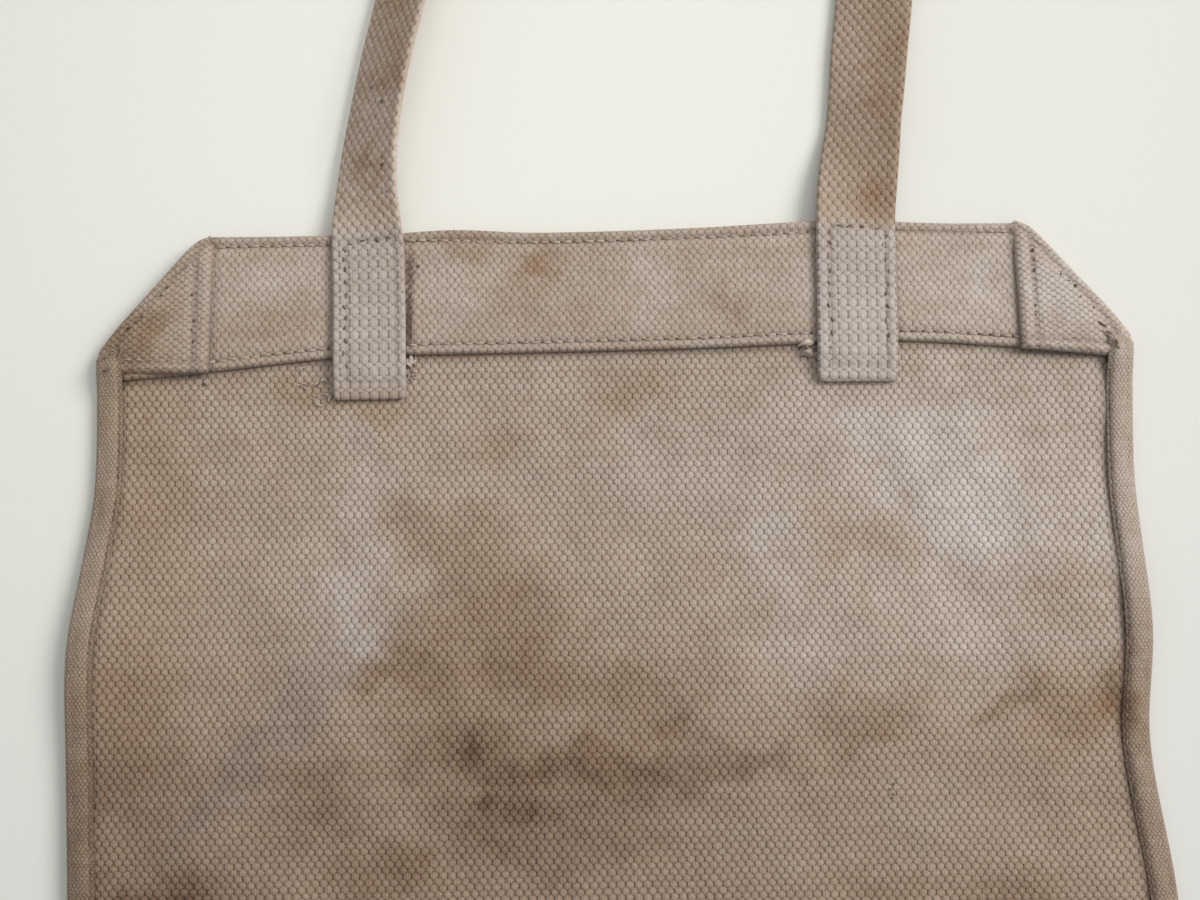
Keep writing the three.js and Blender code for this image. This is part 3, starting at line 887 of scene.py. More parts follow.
    def finish(self, settings: dict[str, Any]) -> Material:
        """Ends in one surface with these inputs, and returns the material."""
        surface = self.node("ShaderNodeBsdfPrincipled", None, settings)
        self.node("ShaderNodeOutputMaterial", None, {"Surface": surface.outputs[0]})
        return self.material


def from_screen(red: float, green: float, blue: float) -> Point:
    """A colour of 0 to 255, as seen on a screen, as light."""
    shares = np.array([red, green, blue]) / 255.0
    light = np.where(shares <= 0.04045, shares / 12.92, ((shares + 0.055) / 1.055) ** 2.4)
    return tuple(float(v) for v in light)


class Weave(NamedTuple):
    """A weave in a shader.

    Its nubs' height and strands go from 0 to 1, and lee, how far towards a nub's lower end a point lies,
    from -1 to 1; the material puts more painted shade towards that lower end. chance and pick are random
    numbers for each nub and each row. gap scales the painted shade in the pits, less where the weave is
    uneven.
    """

    height: Value
    lee: Value
    strand: Value
    chance: Value
    pick: Value
    gap: Value


# The cloth's colour from its darkest stains to its palest wear
TONE_STOPS = (
    (0.0, from_screen(92, 74, 60)),
    (0.124, from_screen(117, 98, 83)),
    (0.288, from_screen(137, 119, 103)),
    (0.44, from_screen(155, 139, 124)),
    (0.556, from_screen(167, 153, 141)),
    (0.684, from_screen(178, 167, 158)),
    (0.86, from_screen(191, 182, 174)),
    (1.0, from_screen(202, 194, 187)),
)
TONE_SPAN = 1.25


@dataclass(frozen=True)
class ClothFinish:
    """A woven cotton: nubs on staggered rows, mottled, stained and sewn down.

    pitch and row are from nub to nub and from row to row, relief and fuzz are how far nubs and fibres stand
    up, all in millimetres, and wander is how far rows stray, in nubs. pits is how light the painted shade in
    the pits between nubs stays. tone, warm, mottle and rough say how light, brown, blotchy and uneven the
    cloth is.
    """

    name: str
    pitch: float
    row: float
    relief: float
    pits: float = 0.5
    tone: float = 0.06
    warm: float = 0.0
    mottle: float = 1.0
    fuzz: float = 0.05
    wander: float = 0.3
    rough: float = 1.0
    spotted: bool = False

    def weave(self, shader: Shader) -> Weave:
        """The nubs: a dome on each point of a staggered lattice, and the higher dome where two meet.

        Args:
            shader: the material's nodes.

        Returns:
            The weave.
        """
        across, along, uneven = shader.cloth()
        across, along = across / self.pitch, along / (2.0 * self.row)
        if self.wander:
            stray = shader.noise(70.0, 1.0)
            jolt, push = shader.noise_pair(360.0)
            across = across + stray * self.wander + jolt * (0.38 * self.rough)
            along = along + stray * (0.7 * self.wander) + push * (0.27 * self.rough)

        def dome(shift: float, length: Value) -> tuple[Value, Value, Value]:
            """How far a point lies from its nub's middle, squared; how far past it; a random number.

            Args:
                shift: of the lattice, in nubs.
                length: of a nub.

            Returns:
                All three.
            """
            u, v = across + shift, along + shift
            du = (u.fraction() - 0.5) * 2.0
            dv = (v.fraction() - 0.5) * 2.0 / length
            return du * du + dv * dv, dv, shader.chance(u.whole(), v.whole(), 10.0 * shift)

        def chosen(share: Value, first: Value, second: Value) -> Value:
            """The first where share is one, the second where it is nothing."""
            return second + (first - second) * share

        reach = self.pitch / (2.0 * self.row)
        far_a, past_a, chance_a = dome(0.0, uneven * (0.5 * reach) + reach)
        far_b, past_b, chance_b = dome(0.5, reach - uneven * (0.7 * reach))
        far_b = far_b + uneven * 0.3
        nearer = far_a < far_b
        height = 1.0 - far_a.least(far_b)
        lee = 0.0 - chosen(nearer, past_a, past_b)
        off_strand = ((across * 3.0).fraction() - 0.5) * 2.0
        pick = shader.chance((along * 2.0).whole(), 0.0, 7.0)
        strand = 1.0 - off_strand * off_strand
        return Weave(height, lee, strand, chosen(nearer, chance_a, chance_b), pick, 1.38 - uneven * 0.8)

    def material(self) -> Material:
        """Makes the material.

        Returns:
            The material.
        """
        shader = Shader(self.name)
        weave = self.weave(shader)
        fibre = shader.noise(2600.0, 3.0, 0.7)
        lint = shader.noise(1150.0, 2.0, 0.6)
        patches = shader.noise(34.0, 6.0, 0.68)
        clouds = shader.noise(95.0, 4.0, 0.6)
        flecks = shader.noise(330.0, 3.0, 0.65)
        tone = shader.attribute("tone") * (1.0 + clouds * 1.5) + self.tone
        tone = tone + (patches * 0.62 + clouds * 0.45 + flecks * 0.35) * self.mottle
        stain = (0.0 - tone).most(0.0)
        tone = tone + (weave.chance - 0.5) * 0.1 + (weave.pick - 0.5) * 0.1 + fibre * 0.35 + lint * 0.5
        tone = tone + (weave.height - 0.45) * 0.3 + (weave.strand - 0.67) * 0.14
        place = (tone + TONE_SPAN) / (2.0 * TONE_SPAN)
        ramp = shader.node("ShaderNodeValToRGB", {"stops": TONE_STOPS}, {"Fac": place})
        warmth = (shader.attribute("warm") + self.warm + patches * 0.8 + clouds * 0.7) * 0.5 + 0.5
        tint = shader.mix(warmth, (0.97, 1.0, 1.07, 1.0), (1.035, 0.985, 0.915, 1.0))
        colour = shader.mix(1.0, ramp.outputs["Color"], tint, "MULTIPLY")
        rust = (shader.attribute("rust") * (1.0 + flecks * 3.0 + clouds * 2.5)).step(0.12, 0.95) * 0.75
        colour = shader.mix(rust, colour, (*from_screen(142, 108, 82), 1.0))
        # Painted shade: pits between nubs and each nub's lower side darkened, as if lit from above; more in
        # stains
        rise = weave.height - weave.lee * 0.14 + lint * (0.3 * self.rough)
        painted_pit_shade = (1.0 - rise.step(-0.1, 0.3)) * 1.15 + (1.0 - rise.step(0.0, 0.7)) * 0.25
        painted_pit_shade = painted_pit_shade * (clouds + 1.0) * (1.0 - self.pits) * weave.gap
        painted_shade_colour = shader.mix(1.0, colour, (0.36, 0.3, 0.25, 1.0), "MULTIPLY")
        colour = shader.mix(painted_pit_shade * (stain * 0.5 + 1.0), colour, painted_shade_colour)
        if self.spotted:
            colour = shader.mix(shader.spots(DARK_SPECKS) * 0.85, colour, (*from_screen(52, 40, 32), 1.0))
        # Painted shade: the seam mark darkens the colour along seams, sewn grooves and beside raised edges
        colour = shader.mix(shader.attribute("seam") * 0.85, colour, (*from_screen(70, 54, 42), 1.0))
        dome = weave.height.most(0.0) ** 0.75
        height = dome * (weave.chance * 0.3 + 0.85) * self.relief + (fibre * 2.0 + lint * 2.4) * self.fuzz
        height = height + weave.strand * (0.12 * self.relief)
        return shader.finish(
            {
                "Base Color": colour,
                "Roughness": 0.92,
                "Normal": shader.bump(height, 1.0, MILLIMETRE),
                "Specular IOR Level": 0.2,
                "Sheen Weight": 0.12,
                "Sheen Roughness": 0.5,
            }
        )


@dataclass(frozen=True)
class ThreadFinish:
    """Sewing thread: two twisted plies, a little darker than the cloth."""

    name: str = "sewing_thread"
    light: Point = from_screen(176, 162, 149)
    dark: Point = from_screen(138, 120, 104)

    def material(self) -> Material:
        """Makes the material.

        Returns:
            The material.
        """
        shader = Shader(self.name)
        grime = (shader.noise(240.0, 3.0) * 1.6 + 0.5).step(0.1, 0.9)
        colour = shader.mix(grime, (*self.dark, 1.0), (*self.light, 1.0))
        plies = shader.bump(shader.noise(1800.0, 1.0), 0.7, 0.2 * MILLIMETRE)
        return shader.finish({"Base Color": colour, "Roughness": 0.9, "Normal": plies})


@dataclass(frozen=True)
class BrassFinish:
    """Brass gone dull: brown tarnish with brighter rubbed places."""

    name: str = "aged_brass"
    bright: Point = (0.48, 0.35, 0.16)
    tarnish: Point = (0.16, 0.11, 0.06)

    def material(self) -> Material:
        """Makes the material.

        Returns:
            The material.
        """
        shader = Shader(self.name)
        dull = (shader.noise(160.0, 4.0, 0.65) * 1.8 + 0.5).step(0.2, 0.85)
        colour = shader.mix(dull, (*self.bright, 1.0), (*self.tarnish, 1.0))
        pitting = shader.bump(shader.noise(900.0, 3.0), 0.5, 0.1 * MILLIMETRE)
        return shader.finish(
            {"Base Color": colour, "Metallic": 1.0, "Roughness": dull * 0.3 + 0.32, "Normal": pitting}
        )


@dataclass(frozen=True)
class FloorFinish:
    """A plain pale paper floor with a painted falloff of light: greyer away from its brightest middle."""

    name: str = "pale_floor"
    light: Point = (0.735, 0.735, 0.682)
    dark: Point = (0.588, 0.588, 0.567)
    middle: Point = (-0.06, 0.29, 0.0)

    def material(self) -> Material:
        """Makes the material.

        Returns:
            The material.
        """
        shader = Shader(self.name)
        # Painted light falloff: the floor's colour greys with distance from a bright middle
        painted_falloff = shader.far(shader.place(), self.middle).step(0.0, 0.42)
        colour = shader.mix(painted_falloff, (*self.light, 1.0), (*self.dark, 1.0))
        return shader.finish({"Base Color": colour, "Roughness": 0.95, "Specular IOR Level": 0.1})


@dataclass
class Finishes:
    """The materials that the pieces share."""

    webbing: Material
    turned: Material
    tape: Material
    strap: Material
    thread: Material
    hole: Material
    grime: Material
    fluff: Material
    brass: Material

    @classmethod
    def make(cls) -> "Finishes":
        """Makes them all.

        Returns:
            The materials.
        """
        made = {
            "webbing": ClothFinish(
                "coarse_webbing", pitch=2.72, row=1.87, relief=0.46, pits=0.62, tone=-0.1,
                rough=0.8, spotted=True,
            ),
            "turned": ClothFinish(
                "turned_webbing", pitch=2.6, row=1.68, relief=0.36, pits=0.7, tone=-0.05,
                rough=1.4, spotted=True,
            ),
            "tape": ClothFinish(
                "binding_twill", pitch=1.35, row=0.98, relief=0.26, pits=0.66, tone=-0.06,
                warm=0.1, mottle=1.1, fuzz=0.16, wander=0.5, rough=2.2,
            ),
            "strap": ClothFinish(
                "strap_webbing", pitch=3.12, row=1.97, relief=0.3, tone=0.03,
                warm=0.3, mottle=0.9, fuzz=0.13, wander=0.0, rough=1.7, spotted=True,
            ),
            "thread": ThreadFinish(),
            "hole": ThreadFinish("needle_hole", from_screen(98, 80, 66), from_screen(68, 54, 43)),
            "grime": ThreadFinish("dirty_thread", from_screen(134, 115, 99), from_screen(82, 66, 54)),
            "fluff": ThreadFinish("loose_cotton", from_screen(190, 178, 166), from_screen(160, 144, 130)),
            "brass": BrassFinish(),
        }
        return cls(**{name: finish.material() for name, finish in made.items()})


def dress(piece: Piece, material: Material, node: str | None = None) -> None:
    """Gives a piece its material and its place in the model.

    Args:
        piece: the new piece.
        material: its material.
        node: the CAD node that it stands for, if any.
    """
    piece.data.materials.append(material)
    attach(piece, BODY)
    if node:
        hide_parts(node)
    log.info("%s: %d points", piece.name, len(piece.data.vertices))


@dataclass
class Stitches:
    """Rows of sewing stitches: short capsules of thread whose ends sink into the cloth.

    pitch is from stitch to stitch, and stray how far one lies off its place, in millimetres. rise is how far
    a stitch's middle stands up, as a share of its width, and shift moves it along the row, in pitches.
    """

    pitch: float
    length: float
    thick: float
    rise: float = 0.3
    shift: float = 0.0
    stray: float = 0.0
    points: list[Array] = field(default_factory=list)
    quads: list[Array] = field(default_factory=list)
    made: int = 0

    def row(self, path: Array, up: Array) -> None:
        """Sews along a path.

        A stitch is five square rings along its own line, small at both ends and sunk there by a fourth
        power of the distance from its middle.

        Args:
            path: points along the seam, on the cloth.
            up: the cloth's outward direction at each.
        """
        steps = np.linalg.norm(np.diff(path, axis=0), axis=1)
        run = np.concatenate([[0.0], np.cumsum(steps)])
        count = max(1, int(run[-1] / self.pitch))
        chance = np.random.default_rng(self.made + 5)
        middles = (np.arange(count) + 0.5 + self.shift) * run[-1] / count
        middles = middles + chance.normal(0.0, self.stray, count)
        size = chance.uniform(1.1 - self.stray, 1.1, (count, 1))
        here = self._at(run, path, middles)
        ahead = unit(self._at(run, path, middles + 0.6) - self._at(run, path, middles - 0.6))
        out = unit(self._at(run, np.broadcast_to(up, path.shape), middles))
        side = unit(np.cross(ahead, out))
        here = here + side * chance.normal(0.0, self.stray, (count, 1))
        ahead = unit(ahead + side * chance.normal(0.0, 0.7 * self.stray, (count, 1)))
        side = unit(np.cross(ahead, out))
        out = np.cross(side, ahead)
        ring = np.array([-1.0, -0.72, 0.0, 0.72, 1.0])
        girth = np.array([0.45, 0.85, 1.0, 0.85, 0.45])
        lengthways = ring * self.length / 2.0
        lift = self.thick * (self.rise - 0.6 * ring**4)
        centre = here[:, None, :] + ahead[:, None, :] * lengthways[:, None] + out[:, None, :] * lift[:, None]
        radius = ((self.thick / 1.6) * girth * size)[:, :, None, None]
        round_side = side[:, None, None, :] * np.cos(SQUARE)[:, None] * radius
        round_out = out[:, None, None, :] * np.sin(SQUARE)[:, None] * radius
        cloud = centre[:, :, None, :] + round_side + round_out
        self.points.append(cloud.reshape(-1, 3))
        self.quads.append(tube_quads(len(ring), count)[:, ::-1] + self.made)
        self.made += count * len(ring) * 4

    @staticmethod
    def _at(run: Array, values: Array, places: Array) -> Array:
        """Values along a path at distances from its start."""
        return np.stack([np.interp(places, run, values[:, i]) for i in range(3)], -1)

    def build(self, name: str) -> Piece:
        """Puts all rows into the scene as one piece."""
        return put_mesh(name, np.concatenate(self.points), np.concatenate(self.quads), {})


@dataclass
class Seam:
    """Rows of sewing: thread that lies on the cloth, and a dark needle hole between each two stitches."""

    thread: Stitches
    holes: Stitches

    @classmethod
    def of(cls, pitch: float, length: float, thick: float, stray: float = 0.06) -> "Seam":
        """Sewing of one kind, with no rows yet: a hole fills the gap that two stitches leave."""
        hole = Stitches(pitch, pitch - length + 0.5, 0.85 * thick, -0.1, 0.5, stray)
        return cls(Stitches(pitch, length, thick, stray=stray), hole)

    def row(self, path: Array, up: Array) -> None:
        """Sews along a path, with the cloth's outward direction at each of its points."""
        self.thread.row(path, up)
        self.holes.row(path, up)

    def build(self, name: str, finishes: Finishes, slot: Slot, dark: bool = False) -> None:
        """Builds and dresses all rows as two pieces, the thread dirty where it is asked for."""
        thread = finishes.grime if dark else finishes.thread
        dress(self.thread.build(f"{name}_stitching"), thread)
        dress(self.holes.build(f"{name}_needle_holes"), finishes.hole)


class HemProfile(NamedTuple):
    """The hem's section: distance from its lower edge or its fold, and height over the main cloth."""

    off: float
    rise: float


HEM_FROM_LOWER = table(
    HemProfile,
    (0, 0.15),
    (0.12, 0.8),
    (0.5, 1.5),
    (1.2, 1.95),
    (2.1, 1.9),
    (2.8, 1.55),
    (3.3, 1.2),
    (3.8, 1.5),
    (4.8, 1.9),
    (6.5, 2.0),
)
HEM_FROM_FOLD = table(
    HemProfile,
    (-6.5, 2.0),
    (-5.2, 1.85),
    (-4.2, 1.5),
    (-3.6, 1.15),
    (-3.0, 1.55),
    (-2.2, 2.05),
    (-1.2, 2.05),
    (-0.5, 1.5),
    (-0.1, 0.7),
    (0.0, -0.2),
    (-0.05, -1.6),
    (-0.4, -3.0),
)


class TackRow(NamedTuple):
    """A knotted tack at a folded corner's end: middle, heading in degrees and length."""

    x: float
    y: float
    z: float
    heading: float
    length: float


TACKS = {
    Side.LEFT: table(
        TackRow,
        (-162.8, 328.4, 7.3, 25, 4.0),
        (-159.6, 329.0, 7.3, 75, 3.6),
        (-163.4, 323.0, 7.7, 40, 3.6),
    ),
    Side.RIGHT: table(
        TackRow,
        (157.8, 330.6, 7.3, -55, 5.2),
        (160.8, 325.8, 7.7, -65, 3.8),
    ),
}


class CornerLines(NamedTuple):
    """A folded corner's plan: both ends of its slanting edge, its tip, and the slant's two directions."""

    start: Array
    end: Array
    tip: Array
    slant: Array
    inward: Array

    @property
    def length(self) -> float:
        """Of the slanting edge."""
        return float(np.linalg.norm(self.end - self.start))


@dataclass
class Flap:
    """The cover flap, laid open with its inside up: main cloth, hem, folded corners and bound sides."""

    wall: float = 1.8
    lap: float = 12.0
    top: float = 368.0
    mitre_across: float = 35.5
    mitre_along: float = 41.0
    lift: float = 1.3
    gap: float = 0.3
    binding_wall: float = 1.0
    binding_width: float = 8.8
    binding_sewn: float = 0.9
    binding_from: float = 22.0
    binding_to: float = 330.4
    hem_wall: float = 1.5
    hem_half: float = 160.0
    hem_edge: float = 6.5
    hem_sewn: float = 3.3
    fold_sewn: float = 3.6
    corner_skin: float = 7.3
    corner_roll: float = 2.4
    corner_drop: float = 3.1
    corner_out: float = 1.6
    corner_end: float = 2.8
    corner_sewn: float = 3.2
    leg_sewn: float = 5.4
    sewing: Seam = field(default_factory=lambda: Seam.of(3.6, 2.9, 0.8))
    edging: Seam = field(default_factory=lambda: Seam.of(2.8, 2.0, 0.55))
    tacking: Stitches = field(default_factory=lambda: Stitches(3.0, 1.5, 0.85, 0.12, stray=0.55))
    knots: Stitches = field(default_factory=lambda: Stitches(1.5, 2.2, 0.85, 0.35, stray=0.5))

    @property
    def mitre_start(self) -> float:
        """Where the cut corners start along the flap."""
        return self.top - self.mitre_along

    @property
    def skin(self) -> float:
        """The height of the main cloth's upper skin where it lies flat."""
        return self.lift + self.wall

    def underside(self, x: Array, y: Array) -> Array:
        """The main cloth's lower skin: flat at the lap and the hem, lifted between them by its folds."""
        fade = smooth(8, 50, y) * (1 - smooth(296, 314, y))
        return self.lift * smooth(0, 18, y) + fade * fold_height(FLAP_FOLDS, x, y)

    def edge(self, side: Side, y: Array) -> Array:
        """The finished edge on one side, cut corner included."""
        inset = np.maximum(0.0, (y - self.mitre_start) * self.mitre_across / self.mitre_along)
        return through(FLAP_EDGES, side.word, y) - side.value * inset

    def upper(self, x: Array, y: Array) -> Array:
        """The main cloth's upper skin, with its fine unevenness."""
        calm = 0.25 + 0.75 * (1 - smooth(300, 318, y))
        return self.underside(x, y) + self.wall + waves(RIPPLE, x, y) * calm * smooth(-4, 20, y)

    def panel(self) -> Sheet:
        """The main cloth: across from edge to edge and along from the lap to the hem's fold.

        Returns:
            The sheet.
        """
        below_hem, under_hem = np.linspace(-self.lap, 314, 165), np.linspace(316, self.top - 2.4, 28)
        along = np.concatenate([below_hem, under_hem])[:, None]
        share = np.linspace(0.0, 1.0, 150)[None, :]
        tuck = 2.0 * smooth(17, 22, along) + 1.2 * smooth(326, 328, along)
        left = self.edge(Side.LEFT, along) + tuck
        right = self.edge(Side.RIGHT, along) - tuck
        x = blend(left, right, share)
        y = along + smooth(319, 368, along) * (through(HEM_EDGES, "top", x) - self.top)
        skin = joined(x, y, self.upper(x, along))
        marks = flap_marks(x, y)
        # Painted shade along the bindings' inner edges and under the hem's lower edge
        seam = 0.4 * bell(x - left - 7.0, 1.1) + 0.75 * bell(right - x - 7.2, 1.2)
        seam = seam * smooth(20, 26, along) + 0.6 * bell(through(HEM_EDGES, "lower", x) - y, 1.6)
        under = skin - np.array([0.0, 0.0, self.wall - 0.1])
        return Sheet(skin, under, joined(x, y), marks._replace(seam=np.clip(seam, 0, 1)))

    def hem(self) -> Sheet:
        """The hem: a low cushion between two sunk rows of sewing, with a bead along each edge.

        Each row of the grid lies a set distance from the lower edge or from the fold, at a set height over
        the main cloth. The last rows turn down round the fold. Beside the straps the columns are closer.

        Returns:
            The sheet.
        """
        near, far = np.array(HEM_FROM_LOWER), np.array(HEM_FROM_FOLD)
        between = np.linspace(0, 1, 14)[1:-1]
        beside = np.concatenate([np.linspace(-16, -10.4, 15), np.linspace(10.4, 16, 15)])
        fine = [route[HEM_ROW].x + beside for route in STRAP_ROUTES.values()]
        full = np.sort(np.concatenate([np.linspace(-1, 1, 230) * self.hem_half, *fine]))[None, :]
        lower, top = through(HEM_EDGES, "lower", full), through(HEM_EDGES, "top", full)
        middle = blend(lower + self.hem_edge, top - self.hem_edge, between[:, None])
        rows = np.concatenate([lower + near[:, :1], middle, top + far[:, :1]])
        rise = np.concatenate([near[:, 1], 2.0 + 0.12 * np.sin(np.pi * between), far[:, 1]])[:, None]
        left = np.maximum(-self.hem_half, self.edge(Side.LEFT, rows[:, :1]) + 1.6)
        right = np.minimum(self.hem_half, self.edge(Side.RIGHT, rows[:, -1:]) - 1.6)
        x = blend(left, right, (full / self.hem_half + 1) / 2)
        pucker = 0.14 * np.sin(1.75 * x) * bell(rise - 1.8, 0.5)
        uneven = 0.35 * waves(RIPPLE, x, 2.0 * rows) * smooth(0.5, 1.9, rise)
        z = self.skin + self.gap + rise + uneven + pucker
        z = z - 1.0 * smooth(155, 160, np.abs(x)) * smooth(0.5, 1.5, rise)
        skin = joined(x, rows, z)
        below = skin - grid_normals(skin) * self.hem_wall
        below[..., 2] = np.where(rows < top - 3, np.maximum(below[..., 2], self.skin + 0.15), below[..., 2])
        # Painted shade in both sewn grooves, along the lower edge and beside the straps and corners
        sewn = bell(rows - lower - self.hem_sewn, 0.8) + bell(top - rows - self.fold_sewn, 0.8)
        seam = 0.22 * sewn + 0.4 * bell(rows - lower, 0.8) + self._beside(x, rows)
        for groove, sunk in ((lower + self.hem_sewn, 1.25), (top - self.fold_sewn, 1.2)):
            where = np.linspace(-0.985, 0.985, 500) * self.hem_half
            ys = np.interp(where, full[0], groove[0])
            limit = np.minimum(-self.edge(Side.LEFT, ys), self.edge(Side.RIGHT, ys)) - 5.5
            keep = np.abs(where) < limit
            self.sewing.row(joined(where[keep], ys[keep], self.skin + self.gap + sunk), UP)
        marks = flap_marks(x, rows)._replace(seam=np.clip(seam, 0, 1))
        return Sheet(skin, below, joined(x, rows), marks)

    def _beside(self, x: Array, y: Array) -> Array:
        """The painted shade on the hem beside what is sewn over it: the straps and the corners' upright
        legs.

        Args:
            x: places across.
            y: places along.

        Returns:
            The painted shade, from 0.
        """
        shade = np.zeros(np.broadcast(x, y).shape)
        for side, route in STRAP_ROUTES.items():
            off = x - route[HEM_ROW].x
            shade += 0.36 * bell(np.abs(off) - 13.2, 0.8)
            if side is Side.LEFT:
                # Painted shadow in the slit right of the left strap
                gap = smooth(11.4, 11.8, off) * (1 - smooth(13.3, 14.2, off))
                shade += 1.1 * gap * smooth(329, 334, y) * (1 - smooth(354, 364, y))
            leg = side.value * (abs(float(self.edge(side, np.array(self.top)))) - 1.5)
            shade += 0.5 * bell((x - leg) * -side.value - 0.4, 1.1)
        return shade

    def corner_lines(self, side: Side) -> CornerLines:
        """Where a folded corner lies.

        Args:
            side: which corner.

        Returns:
            Its plan.
        """
        s = side.value
        start = np.array([float(self.edge(side, np.array(self.mitre_start))), self.mitre_start])
        end = np.array([start[0] - s * self.mitre_across, self.top + 0.9 + 0.3 * s])
        tip = np.array([end[0] - s * 1.5, float(through(HEM_EDGES, "lower", np.array(end[0]))) + 1.4])
        slant = unit(end - start)
        return CornerLines(start, end, tip, slant, np.array([-s * slant[1], s * slant[0]]))

    def corner(self, side: Side) -> Sheet:
        """A corner folded in on the slant over the hem: a triangle that wraps round the slanting edge.

        The grid runs along the slant, and from the foot of the wrap up, over, and in across the triangle,
        whose depth grows evenly to its tip and falls evenly after it. Both ends of the slant are drawn in
        and lie lower, under the binding at one and level with the hem's fold at the other.

        Args:
            side: which corner.

        Returns:
            The sheet.
        """
        lines = self.corner_lines(side)
        length, roll = lines.length, self.corner_roll
        foot = float((lines.tip - lines.start) @ lines.slant)
        depth = float((lines.tip - lines.start) @ lines.inward)
        run = np.unique(np.concatenate([edged(46, length, 2.5), [foot]]))[None, :]
        share = np.clip(np.where(run < foot, run / foot, (length - run) / (length - foot)), 0, 1)
        across = blend(self.corner_end, depth, share) + self.corner_out
        drawn = 1.3 * (1 - smooth(0.4, 3.6, run)) + 1.6 * smooth(length - 5, length, run) ** 1.5
        drawn = drawn - self.corner_out
        high = self.corner_skin - 1.6 * (1 - smooth(3, 14, run)) - 1.9 * smooth(length - 10, length - 1, run)
        turn = np.radians([0, 30, 60, 90])[:, None]
        flat = np.concatenate([np.linspace(0, 0.9, 28)[1:], [0.93, 0.96, 0.98, 1.0]])[:, None]
        none = np.zeros_like(run)
        inset = np.concatenate([none, none, roll * (1 - np.cos(turn)) + none, roll + flat * (across - roll)])
        base = np.concatenate([none + 0.3, none + 2.4, high - roll + roll * np.sin(turn), high + 0 * flat])
        x = lines.start[0] + lines.slant[0] * run + lines.inward[0] * (inset + drawn)
        y = lines.start[1] + lines.slant[1] * run + lines.inward[1] * (inset + drawn)
        blunt = self.corner_end * lines.inward
        to_leg = self._within(x, y, lines.end + blunt, lines.tip, lines.start)
        to_lower = self._within(x, y, lines.start + blunt, lines.tip, lines.end)
        to_edge = np.minimum(to_leg, to_lower)
        over = smooth(0.0, roll, inset)
        droop = blend(self.corner_drop, 2.2, np.clip(run / foot, 0, 1))
        y = y - over * droop * bell(to_lower, 8)
        soft = 0.45 * smooth(1.0, 9.0, np.minimum(to_edge, inset)) + 0.35 * waves(RIPPLE, 1.7 * x, 1.7 * y)
        bead = 0.7 * bell(to_lower - 1.7, 1.3) + 0.45 * bell(to_leg - 2.4, 1.6)
        seats = ((to_leg, self.leg_sewn), (to_lower, self.corner_sewn), (inset, self.corner_sewn))
        sewn = np.clip(sum(bell(gap - at, 0.85) for gap, at in seats), 0, 1)
        drop = 1.55 * over * (1 - rounding(to_edge, 2.2))
        z = base + over * (soft + bead - 0.55 * sewn) - drop
        # Painted shade in the sewn grooves and along the folded corner's edges
        shade = over * (0.3 * sewn + 0.45 * bell(to_edge, 0.8))
        thick = 1.5 * np.where(inset > roll, np.maximum(0.2, 1 - drop / 1.6), 1.0)
        skin = joined(x, y, z)
        if side is Side.LEFT:
            skin, shade, thick = skin[:, ::-1], shade[:, ::-1], thick[:, ::-1]
        below = skin - grid_normals(skin) * thick[..., None]
        marks = flap_marks(skin[..., 0], skin[..., 1])._replace(seam=np.clip(shade, 0, 1))
        self._sew_corner(side, lines, skin[7:].reshape(-1, 3))
        return Sheet(skin, below, 1.15 * joined(skin[..., 1], skin[..., 0]), marks)

    @staticmethod
    def _within(x: Array, y: Array, first: Array, second: Array, third: Array) -> Array:
        """How far points lie from the line through two others, on a third's side of it, and 0 past it."""
        ahead = unit(second - first)
        side = np.sign((third[0] - first[0]) * ahead[1] - (third[1] - first[1]) * ahead[0])
        return np.maximum(0.0, side * ((x - first[0]) * ahead[1] - (y - first[1]) * ahead[0]))

    def _sew_corner(self, side: Side, lines: CornerLines, skin: Array) -> None:
        """Sews a folded corner down: along its upright leg, its lower leg and its slanting edge.

        Args:
            side: which corner.
            lines: its plan.
            skin: points of its upper skin. A stitch lies at their mean height, weighted by nearness.
        """
        start, end, tip, slant, inward = lines
        leg, lower = unit(tip - end), unit(tip - start)
        off_leg = np.array([side.value, 0.0]) * self.leg_sewn
        off_lower = np.array([0.0, 0.9])
        off_slant = inward * self.corner_sewn
        runs = (
            (end + off_leg + leg * 10.0, tip + off_leg - leg * 4.0),
            (start + off_lower + lower * 9.0, tip + off_lower - lower * 2.0),
            (start + off_slant + slant * 9.0, start + off_slant + slant * (lines.length - 9.0)),
        )
        share = np.linspace(0, 1, 60)[:, None]
        for (first, last), seam in zip(runs, (self.tacking, self.sewing, self.tacking)):
            line = blend(first, last, share)
            far = np.sum((line[:, None] - skin[None, :, :2]) ** 2, -1)
            near = np.exp(-far / 0.8) + 1e-12
            height = near @ skin[:, 2] / near.sum(1) - (0.34 if seam is self.tacking else 0.52)
            seam.row(np.concatenate([line, height[:, None]], 1), UP)
        for tack in TACKS[side]:
            ahead = np.radians(tack.heading)
            half = np.array([np.cos(ahead), np.sin(ahead), 0.0]) * tack.length / 2
            middle = np.array([tack.x, tack.y, tack.z])
            self.knots.row(blend(middle - half, middle + half, np.linspace(0, 1, 8)[:, None]), UP)

